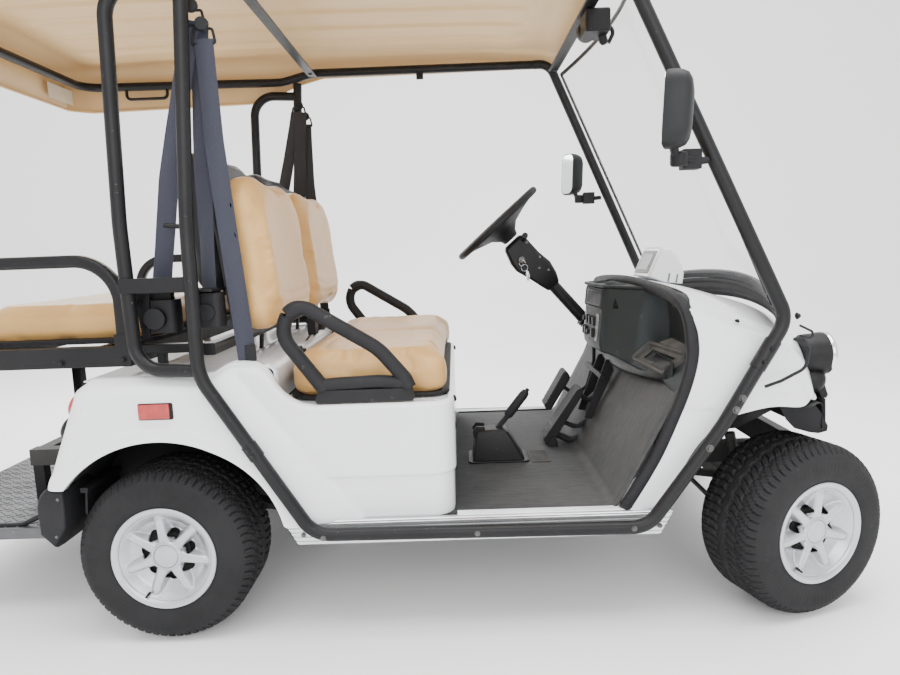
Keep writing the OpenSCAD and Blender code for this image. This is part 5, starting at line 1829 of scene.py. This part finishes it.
for y in (-62, -22, 18, 56):
    for z in (700, 738):
        if (y, z) in ((-22, 700), (56, 738)):
            s.add(*lathe([(0.0, 0), (9, 0), (10, 3), (8, 9), (0.0, 10)], (face_x(y, z) - 2, y, z), (-1, 0, 0.1), 20))
        else:
            s.add(*block(face_x(y, z) - 8, face_x(y, z) + 4, y - 9, y + 9, z - 14, z + 14))
piece("switch_keys", s, "black", bevel=1.8)

# square tray with a recess on the shelf, in front of both seats, and dust beside it
s = Shape()
d = Shape()
for side in (1, -1):
    loop = [(1283, 262, 644), (1327, 292, 692), (1372, 476, 684), (1318, 432, 630)]
    loop = [(x, side * y, z) for x, y, z in loop]
    mids = [tuple((np.array(loop[k]) + np.array(loop[(k + 1) % 4])) / 2) for k in range(4)]
    pts = fillet([mids[3]] + [loop[0], loop[1], loop[2], loop[3]] + [mids[3]], [10, 10, 10, 10], 20)[:-1]
    s.add(*sweep(pts, box_section(22, 8, 3), flat=(-0.5, 0, 0.7), closed=True))
    hole = [(1304, 300, 652), (1328, 314, 676), (1350, 440, 672), (1324, 416, 646)]
    low = [(x + 12, y, z - 16) for x, y, z in hole]
    d.add([(x, side * y, z) for x, y, z in hole + low], [(4, 5, 6, 7), (0, 1, 5, 4), (1, 2, 6, 5), (2, 3, 7, 6),
                                                         (3, 0, 4, 7)])
    outer = [tuple(p) for p in loop]
    hh = [(x - 2, side * y, z + 3) for x, y, z in hole]
    s.add(outer + hh, [(k, (k + 1) % 4, 4 + (k + 1) % 4, 4 + k) for k in range(4)])
    plate_pts = [(1338, 330, 702), (1366, 350, 716), (1378, 476, 706), (1366, 480, 694)]
    d.add([(x, side * y, z + dz) for dz in (-4, 2) for x, y, z in plate_pts],
          [(0, 1, 2, 3), (7, 6, 5, 4), (0, 4, 5, 1), (1, 5, 6, 2), (2, 6, 7, 3), (3, 7, 4, 0)])
piece("dash_tray_frames", s, "dusty", angle=40)
piece("dash_tray_pockets", d, "dusty", angle=30, bevel=1)

# display pod
outline = [(1383, 872), (1424, 962), (1432, 968), (1462, 966), (1494, 944), (1514, 908), (1520, 880), (1516, 844),
           (1440, 850)]
s = Shape()
rows = []
for y, k in ((-12, 0.86), (-8, 0.95), (2, 1.0), (60, 1.01), (118, 1.0), (128, 0.95), (132, 0.86)):
    cx, cz = 1456, 880
    turn = 0.14 * (130 - y)
    rows.append([(cx + (x - cx) * k + turn * min(1.0, max(0.0, (1500 - x) / 80)), y, cz + (z - cz) * k) for x,
                 z in outline])
n = len(outline)
s.v = [p for r_ in rows for p in r_]
s.f = ring_net(6, n)
s.f += [tuple(range(n)), tuple(6 * n + k for k in range(n - 1, -1, -1))]
piece("display_pod_shell", s, "white", nodes=["display_pod"], bevel=5, segs=3, angle=14)
across = unit((1424 - 1383, 0, 962 - 872))
outd = np.array((-across[2], 0, across[0]))


def on_screen(a, b, lift):
    base = np.array((1387.0, 0, 880)) + across * a + outd * lift
    return (base[0] + 0.14 * (130 - b), b, base[2])


for name, a0, a1, b0, b1, l0, l1, mat in (("display_frame", 2, 82, 10, 110, -3, 3.2, "bezel"),
                                          ("display_glass", 12, 72, 22, 98, 0, 4.2, "lcd")):
    v = [on_screen(a, b, l) for l in (l0, l1) for a, b in ((a0, b0), (a1, b0), (a1, b1), (a0, b1))]
    s = Shape().add(v, [(0, 1, 2, 3), (7, 6, 5, 4), (0, 4, 5, 1), (1, 5, 6, 2), (2, 6, 7, 3), (3, 7, 4, 0)])
    piece(name, s, mat, bevel=1.2)
s = Shape()
for y in (-12.6, 132.6):
    for x, z in ((1462, 866), (1488, 862)):
        v, f = prism([(x, z - 12), (x + 5, z - 14), (x + 10, z + 16), (x + 4, z + 14)], y - 0.6, y + 0.6)
        s.add(v, f)
piece("display_vents", s, "bezel")

# ---------------------------------------------------------------- steering

COL = Matrix.Translation((982, 280, 1010)) @ Matrix.Rotation(math.radians(-41), 4, "Y")


def on_column(shape):
    return placed(shape, COL)


s = Shape()
n, k = 72, 14
for i in range(n):
    a = 2 * math.pi * i / n
    for j in range(k):
        b = 2 * math.pi * j / k
        r = 13
        s.v.append(((176 + r * math.cos(b)) * math.cos(a), (176 + r * math.cos(b)) * math.sin(a),
                    82 + 12.5 * math.sin(b)))
s.f = [(i * k + j, ((i + 1) % n) * k + j, ((i + 1) % n) * k + (j + 1) % k, i * k + (j + 1) % k) for i in range(n)
       for j in range(k)]
piece("steering_grip", on_column(s), "soft_black", body="steering_wheel", nodes=["steering_wheel"], angle=60)
s = Shape()
hub = [(0.0, 40), (58, 40), (66, 34), (64, 26), (40, 12), (29, 2), (26, -18), (26, -22), (0.0, -22)]
s.add(*lathe([(r, h + 26) for r, h in hub], (0, 0, 0), (0, 0, 1), 40))
for a in (90, 210, 330):
    c, sn = math.cos(math.radians(a)), math.sin(math.radians(a))
    prof = [(40, 60, 30), (60, 60, 24), (100, 66, 19), (140, 74, 17), (166, 80, 20)]
    v = []
    for r, z, w in prof:
        for off, dz in ((-w, -4), (-w * 0.8, 4), (w * 0.8, 4), (w, -4), (w * 0.7, -8), (-w * 0.7, -8)):
            v.append((r * c - off * sn, r * sn + off * c, z + dz))
    f = ring_net(4, 6)
    f += [tuple(range(5, -1, -1)), tuple(4 * 6 + m for m in range(6))]
    s.add(v, f)
s.add(*lathe([(52, 62), (58, 58), (96, 62), (150, 76), (152, 73), (98, 56), (60, 44), (36, 22), (30, 6), (28, 6)],
             (0, 0, 0), (0, 0, 1), 60))
piece("steering_hub", on_column(s), "soft_black", body="steering_wheel", angle=35)

# column cover: a bent box with chamfered edges, key switch, ring and key
s = Shape()
sec = [(-40, 46), (-46, 38), (-48, -38), (-40, -46), (34, -46), (44, -36), (44, 36), (34, 46)]
rows = []
for z, g, sh in ((-4, 0.74, 0), (-14, 0.96, 0), (-64, 1.14, -8), (-96, 1.16, -9), (-150, 1.06, 3), (-196, 0.84, 4),
                 (-224, 0.62, 2), (-230, 0.54, 2)):
    rows.append([(x * g + sh - 2, y * min(g, 1.04), z) for x, y in sec])
m = len(sec)
s.v = [p for r_ in rows for p in r_]
s.f = ring_net(len(rows) - 1, m)
s.f += [tuple(range(m - 1, -1, -1)), tuple((len(rows) - 1) * m + j for j in range(m))]
piece("column_cover", on_column(s), "black", nodes=["steering_column"], bevel=3, segs=2, angle=22)
s = Shape()
s.add(*lathe([(0.0, -60), (22, -60), (22, -430), (0.0, -430)], (0, 0, 0), (0, 0, 1), 28))
v, f = lathe([(24, 0), (26, -4), (24, -9)], (0, 0, -158), (0, 0, 1), 28)
s.add(v, f)
boot = []
for q in range(9):
    z = -398 - q * 9
    boot += [(31 - q * 1.2, z), (25 - q * 1.2, z - 4.5)]
s.add(*lathe([(22, -392)] + boot + [(16, -482)], (0, 0, 0), (0, 0, 1), 28))
s.add(*lathe([(0.0, 0), (7, 0), (7, 46), (11, 48), (11, 60), (0.0, 61)], (26, -40, -26), (0.2, -1, 0.2), 14))
piece("column_tube", on_column(s), "black", angle=35)
s = Shape()
s.add(*lathe([(0.0, 0), (13, 0), (14, 3), (11, 7), (8, 7.5), (0.0, 7)], (-26, -47, -74), (0, -1, 0), 28))
ring_pts = [(1012 + 11 * math.cos(a), 224, 925 + 11 * math.sin(a)) for a in np.linspace(0, 2 * math.pi, 25)[:-1]]
piece("key_switch", on_column(s), "bolt", angle=35)
s = Shape()
s.add(*sweep(ring_pts, ring(2, 6), flat=(0, 1, 0), closed=True))
ring2 = [(1020 + 12 * math.cos(a), 222, 908 + 12 * math.sin(a)) for a in np.linspace(0, 2 * math.pi, 25)[:-1]]
s.add(*sweep(ring2, ring(2, 6), flat=(0, 1, 0.2), closed=True))
v, f = prism([(1026, 900), (1034, 894), (1038, 880), (1036, 862), (1032, 858), (1028, 862), (1026, 882)], 220, 223)
s.add(v, f)
s.add(*lathe([(0.0, 0), (4, 0), (5, 6), (5, 22), (3, 30), (0.0, 31)], (1028, 220, 892), (0.15, 0, -1), 12))
piece("key_ring", s, "chrome", angle=35)
s = Shape()
for x, z in ((30, -40), (30, -112), (2, -140), (22, -168)):
    s.join(bolt((x, -47.5, z), (0, -1, 0), 6, 2, 16))
piece("column_screws", on_column(s), "bolt", angle=35)

# ---------------------------------------------------------------- pedals, parking brake, floor

s = Shape()
pad = [(1074, 408), (1082, 394), (1100, 394), (1166, 500), (1170, 514), (1158, 534), (1146, 532)]
s.add(*prism(pad, 150, 236))
piece("brake_pad", s, "soft_black", nodes=["pedals"], bevel=5, segs=3, angle=25)
s = Shape()
s.add(*sweep(fillet([(1150, 193, 470), (1192, 193, 438), (1236, 193, 470), (1262, 193, 560), (1262, 193, 620)],
                    [14, 30, 60], 9), box_section(22, 12, 3, 2), flat=(0, 1, 0)))
tre = [(1052, 322), (1060, 305), (1080, 303), (1186, 472), (1192, 488), (1180, 498), (1168, 492)]
s.add(*prism(tre, 20, 104))
s.add(*sweep(fillet([(1100, 62, 330), (1150, 62, 306), (1214, 62, 330), (1262, 62, 402), (1258, 62, 440)],
                    [40, 50, 24], 8), box_section(30, 20, 6, 3), flat=(0, 1, 0)))
s.add(*sweep(fillet([(1128, 62, 372), (1172, 62, 352), (1216, 62, 380), (1250, 62, 440)], [30, 40], 8),
             box_section(22, 14, 4, 2), flat=(0, 1, 0)))
s.add(*sweep(fillet([(1180, 62, 470), (1214, 62, 448), (1240, 62, 470)], [10], 12), box_section(26, 14, 4, 2),
             flat=(0, 1, 0)))
s.add(*prism([(1190, 400), (1214, 396), (1290, 560), (1280, 600), (1262, 596)], 118, 126))
s.add(*prism([(1190, 400), (1214, 396), (1290, 560), (1280, 600), (1262, 596)], 2, 10))
s.add(*tube([(1250, -8, 540), (1250, 250, 540)], [], 20, flat=(1, 0, 0), n=14))
s.add(*lathe([(0.0, 0), (14, 0), (14, 62), (0.0, 62)], (1082, 31, 318), (0, 1, 0), 20))
s.add(*prism([(1064, 301), (1102, 301), (1094, 326), (1086, 330), (1072, 326)], 8, 20))
s.add(*prism([(1064, 301), (1102, 301), (1094, 326), (1086, 330), (1072, 326)], 104, 116))
piece("pedal_arms", s, "soft_black", bevel=2, angle=30)
s = Shape()
for a in range(9):
    k = a / 8
    x, z = 1056 + 122 * k, 326 + 160 * k
    nx, nz = -0.80, 0.55
    s.add(*prism([(x - 2, z - 3), (x + 2, z + 3), (x + 2 + nx * 4, z + 3 + nz * 4),
                  (x - 2 + nx * 4, z - 3 + nz * 4)], 26, 98))
piece("treadle_ribs", s, "dusty", bevel=0.8)
s = Shape()
for a in range(8):
    k = a / 7
    x, z = 1080 + 66 * k, 414 + 108 * k
    s.add(*prism([(x - 2, z - 3), (x + 2, z + 3), (x + 2 - 3.4, z + 3 + 2), (x - 2 - 3.4, z - 3 + 2)], 156, 230))
piece("brake_pad_ribs", s, "soft_black", bevel=0.8)

s = Shape()
s.add(*slab(rounded(790, 984, -146, -18, 14, 5), 300.5, 306))
v, f = [], []
rows = [((804, 972), (-134, -30), 305), ((806, 962), (-133, -31), 320), ((812, 934), (-130, -36), 372),
        ((816, 918), (-124, -44), 396), ((824, 908), (-116, -50), 402)]
for (xa, xb), (ya, yb), z in rows:
    v += [(x, y, z) for x, y in rounded(xa, xb, ya, yb, 9, 3)]
n = 16
f = ring_net(4, n)
f += [tuple(range(n - 1, -1, -1)), tuple(4 * n + j for j in range(n))]
s.add(v, f)
s.add(*prism([(810, 372), (846, 402), (846, 412), (818, 414), (806, 398)], -116, -104))
s.add(*prism([(810, 372), (846, 402), (846, 412), (818, 414), (806, 398)], -60, -48))
piece("brake_box", s, "black", nodes=["parking_brake"], bevel=2.2, angle=25)
s = Shape()
s.add(*sweep([(868, -82, 372), (980, -82, 512)], box_section(22, 16, 5, 3), flat=(0, 1, 0)))
s.add(*lathe([(0.0, -6), (13, -4), (15, 4), (15, 84), (12, 96), (6, 101), (0.0, 102)], (924, -82, 442),
             (112, 0, 140), 24))
s.add(*lathe([(0.0, 100), (6.5, 100), (6.5, 108), (0.0, 109)], (924, -82, 442), (112, 0, 140), 16))
piece("brake_lever", s, "soft_black", angle=35)
s = Shape()
s.add(*slab(rounded(992, 1052, -146, -34, 4, 3), 300.5, 303.5))
for k in range(9):
    y = -136 + 11.6 * k
    s.add(*slab(rounded(996, 1048, y, y + 6, 2, 2), 303, 306))
piece("ribbed_pad", s, "dusty", bevel=0.8)
prof = fillet([(704, 0, 300), (1163, 0, 300), (1316, 0, 586), (1345, 0, 646)], [34, 60], 9)
s = Shape()
ys = np.linspace(-528, 528, 30)
v = []
for x, _, z in prof:
    wide = 1 + 0.012 * smooth((z - 300) / 40)
    v += [(x, y * wide, z) for y in ys]
s.add(v, net(len(prof) - 1, 29, 30, turned=True))
piece("floor_mat_sheet", s, "mat", nodes=["floor_pan"], angle=60, thick=-5)
# heel line where the mat turns up, with the dust lying in it
s = Shape()
n = 60
v = []
for i in range(n + 1):
    y = -520 + 1040 * i / n
    w = 3.0 + 1.5 * math.sin(i * 1.7) + 1.2 * math.sin(i * 0.61)
    v += [(1160 - w - 4, y, 300.6), (1163, y, 302.2), (1168 + w * 0.5, y, 306 + w * 1.2)]
s.add(v, net(n, 2, 3))
piece("mat_crease", s, "dusty", angle=80, thick=0.6)
# rubber edging of the mat beside the sills
s = Shape()
for side in (1, -1):
    s.add(*sweep([(760, side * 524, 302), (1150, side * 524, 302)], box_section(9, 5, 1.5, 2), flat=(0, 1, 0)))
piece("mat_edges", s, "soft_black", angle=35)
# dark bulge under the dash
s = Shape()


def bulge(u, v):
    y = -470 + 940 * u
    sag = math.sin(math.pi * u) ** 0.6
    a = math.pi * v
    return (1330 - 64 * sag * math.sin(a) * 0.9, y, 640 + 30 * math.cos(a) - 58 * sag * math.sin(a) * 0.8)


s.add(*grid(bulge, 50, 14))
piece("dash_underside", s, "black", angle=60, thick=2)

# ---------------------------------------------------------------- screen, its strips, mirrors

R_S = (494.0 ** 2 + 90 ** 2) / 180
TILT = math.radians(23.9)


def screen_at(y, z, out=0.0):
    """A point on the bowed screen: y across, z along the screen from its lower edge, out forwards."""
    x = -R_S + math.sqrt((R_S + out) ** 2 - y * y)
    return (1648 + x * math.cos(TILT) - z * math.sin(TILT), y, 868 + x * math.sin(TILT) + z * math.cos(TILT))


RISE = (ROOF_Z - 8 - 868) / math.cos(TILT)
s = Shape().add(*grid(lambda u, v: screen_at(-492 + 984 * u, 8 + (RISE - 10) * v), 60, 40))
piece("screen_sheet", s, "glass", nodes=["windshield"], angle=60, thick=4.5)
s = Shape()
for side in (1, -1):
    line = [screen_at(side * 493, z, 0) for z in np.linspace(0, RISE, 30)]
    s.add(*sweep(line, box_section(12, 9, 3, 2), flat=(0, 1, 0)))
line = [screen_at(y, RISE - 4, 0) for y in np.linspace(-492, 492, 40)]
s.add(*sweep(line, box_section(14, 9, 3, 2), flat=(0, 0, 1)))
piece("screen_edging", s, "black", angle=40)
s = Shape()
for z, w, d, o in ((4, 30, 12, 2), (-22, 16, 9, 3)):
    line = [screen_at(y, z, o) for y in np.linspace(-522, 522, 60)]
    s.add(*sweep(line, box_section(d, w, 4, 3), flat=(1, 0, 0.45)))
piece("screen_lower_strips", s, "black", nodes=["windshield_trim"], angle=35)
s = Shape()
s.add(*grid(lambda u, v: tuple(np.array(screen_at(-516 + 1032 * u, -14 - 66 * v, -1 + 5 * math.sin(v * 9)))), 60, 18))
piece("screen_cowl_panel", s, "soft_black", angle=50, thick=3)
s = Shape()
s.add(*sweep([screen_at(y, -78, 8) for y in np.linspace(-500, 500, 60)], ring(9, 10), flat=(1, 0, 0)))
for y in (-420, -210, 0, 210, 420):
    x, yy, z = screen_at(y, 4, 8)
    s.join(bolt((x, yy, z), (0.9, y / 1400, 0.4), 10, 4, 16))
piece("screen_seal", s, "soft_black", angle=40)
# cable beside the right pillar
s = Shape()
for side in (-1,):
    pts = [(1590, side * 575, 738), (1630, side * 572, 716), (1622, side * 573, 664), (1560, side * 577, 634),
           (1520, side * 580, 622)]
    s.add(*tube(pts, [14, 30, 20], 8, n=10))
    pts = [(1604, side * 572, 770), (1640, side * 568, 752), (1636, side * 568, 736), (1606, side * 572, 744)]
    s.add(*tube(pts, [10, 8], 6, n=8))
    s.join(bolt((1602, side * 560, 792), (0.6, side, 0.2), 12, 8))
piece("lamp_cable", s, "soft_black", angle=40)

# mirrors: a rounded shell on an arm from the pillar, glass facing the rear
for side, tag in ((1, "left"), (-1, "right")):
    m = Matrix.Translation((1276, side * 648, 1276)) @ Matrix.Rotation(math.radians(side * 24), 4,
            "Z") @ Matrix.Rotation(math.radians(3), 4, "Y")
    s = Shape()
    v, rings = [], []
    for x, g in ((-27, 0.985), (-24, 1.0), (-8, 1.0), (8, 0.97), (20, 0.90), (27, 0.76), (31, 0.5), (32, 0.15)):
        ol = rounded(-44 * g, 44 * g, -84 * g, 84 * g, 30 * g, 6)
        rings.append([(x, y, z * (1 + 0.02 * (y / 44))) for y, z in ol])
    n = len(rings[0])
    s.v = [tuple(m @ Vector(p)) for r_ in rings for p in r_]
    s.f = ring_net(len(rings) - 1, n)
    s.f += [tuple(range(n)), tuple((len(rings) - 1) * n + k for k in range(n - 1, -1, -1))]
    piece("mirror_shell_" + tag, s, "mirror_shell", nodes=["mirrors"], angle=50)
    s = Shape()
    v, f = slab(rounded(-39, 39, -79, 79, 26, 6), 0, 2)
    s.add([tuple(m @ Vector((-26.6 - w, y, z))) for y, z, w in v], f)
    piece("mirror_glass_" + tag, s, "mirror", angle=35)
    s = Shape()
    path = [(1268, side * 628, 1224), (1286, side * 606, 1176), (1330, side * 590, 1170), (1372, side * 560, 1172)]
    s.add(*sweep(fillet(path, [16, 20], 12), box_section(24, 16, 6, 3), flat=(0, 1, 0)))
    s.add(*lathe([(0.0, -16), (17, -16), (20, -12), (20, 12), (17, 16), (0.0, 16)], (1294, side * 604, 1172),
                 (0, 0, 1), 24))
    s.add(*block(1306, 1350, min(side * 566, side * 600), max(side * 566, side * 600), 1150, 1196))
    piece("mirror_arm_" + tag, s, "soft_black", bevel=3, angle=32)

# ---------------------------------------------------------------- CAD nodes that keep their shape

for node_name, mat_name in (("chassis_frame", "steel"), ("rear_axle", "steel"), ("front_axle", "steel"),
                            ("knuckle_left", "steel"), ("knuckle_right", "steel"), ("tie_rod", "steel"),
                            ("battery_block", "battery")):
    keep(node_name, mat_name)
s = Shape()
for k in range(3):
    for m_ in range(2):
        x, y = 362 + 112 * k, -180 + 185 * m_
        s.add(*slab(rounded(x, x + 104, y, y + 176, 8, 3), 560, 574))
        for q in (34, 88, 142):
            s.add(*lathe([(0.0, 0), (13, 0), (13, 9), (11, 11), (0.0, 11)], (x + 52, y + q, 574), (0, 0, 1), 20))
piece("battery_lids", s, "battery", bevel=1.5)
# longer leaves on the front springs, and the four dampers
s = Shape()
for side in (1, -1):
    for q in range(3):
        s.add(*sweep([(1380 + 30 * q, side * 212, 292 - 7 * q), (WB, side * 212, 268 - 8 * q),
                      (1744 - 24 * q, side * 212, 292 - 7 * q)], box_section(34, 6, 1.5, 2), flat=(0, 1, 0)))
    s.add(*tube([(1590, side * 300, 262), (1560, side * 286, 420)], [], 30, n=16))
    s.add(*tube([(30, side * 316, 262), (70, side * 306, 470)], [], 32, n=16))
piece("springs_dampers", s, "steel", angle=35)

# ---------------------------------------------------------------- floor and light

SKY_STRENGTH = 1.7
FLOOR_X = (-9000, 11000)
# the floor turns up into a backdrop behind the cart: (y, z)
BACKDROP = [(-9000, 0), (3200, 0), (4200, 120), (4900, 520), (5300, 1300), (5400, 2600), (5400, 6000)]


def stage():
    me = bpy.data.meshes.new("studio_floor")
    pts = fillet([(0, y, z) for y, z in BACKDROP], 600, 6)
    verts = [(x, p[1], p[2]) for p in pts for x in FLOOR_X]
    me.from_pydata([P(p) for p in verts], [], [(2 * i, 2 * i + 1, 2 * i + 3, 2 * i + 2) for i in range(len(pts) - 1)])
    for p in me.polygons:
        p.use_smooth = True
    me.materials.append(finish("studio_floor", (0.95, 0.95, 0.95), 0.6, dark=(0.94, 0.94, 0.94), patch=0.5,
                               grain=20, bump=0.01))
    o = bpy.data.objects.new("studio_floor", me)
    bpy.context.scene.collection.objects.link(o)


stage()
world = bpy.data.worlds.new("studio")
bpy.context.scene.world = world
world.use_nodes = True
world.node_tree.nodes["Background"].inputs[0].default_value = (1, 1, 1, 1)
world.node_tree.nodes["Background"].inputs[1].default_value = SKY_STRENGTH
# name, place, target and size in metres, power in watts
for name, place, target, size, power in (
        ("key_top", (0.3, -0.6, 4.2), (0.2, 0, 0.4), (4.5, 3.0), 300),
        ("front_fill", (0.6, -4.6, 2.4), (0.2, 0, 0.7), (4.0, 2.4), 110),
        ("rim_back", (-2.0, 3.0, 3.0), (0, 0, 0.8), (3.0, 2.0), 120)):
    area_light(name, place, target, size, power)
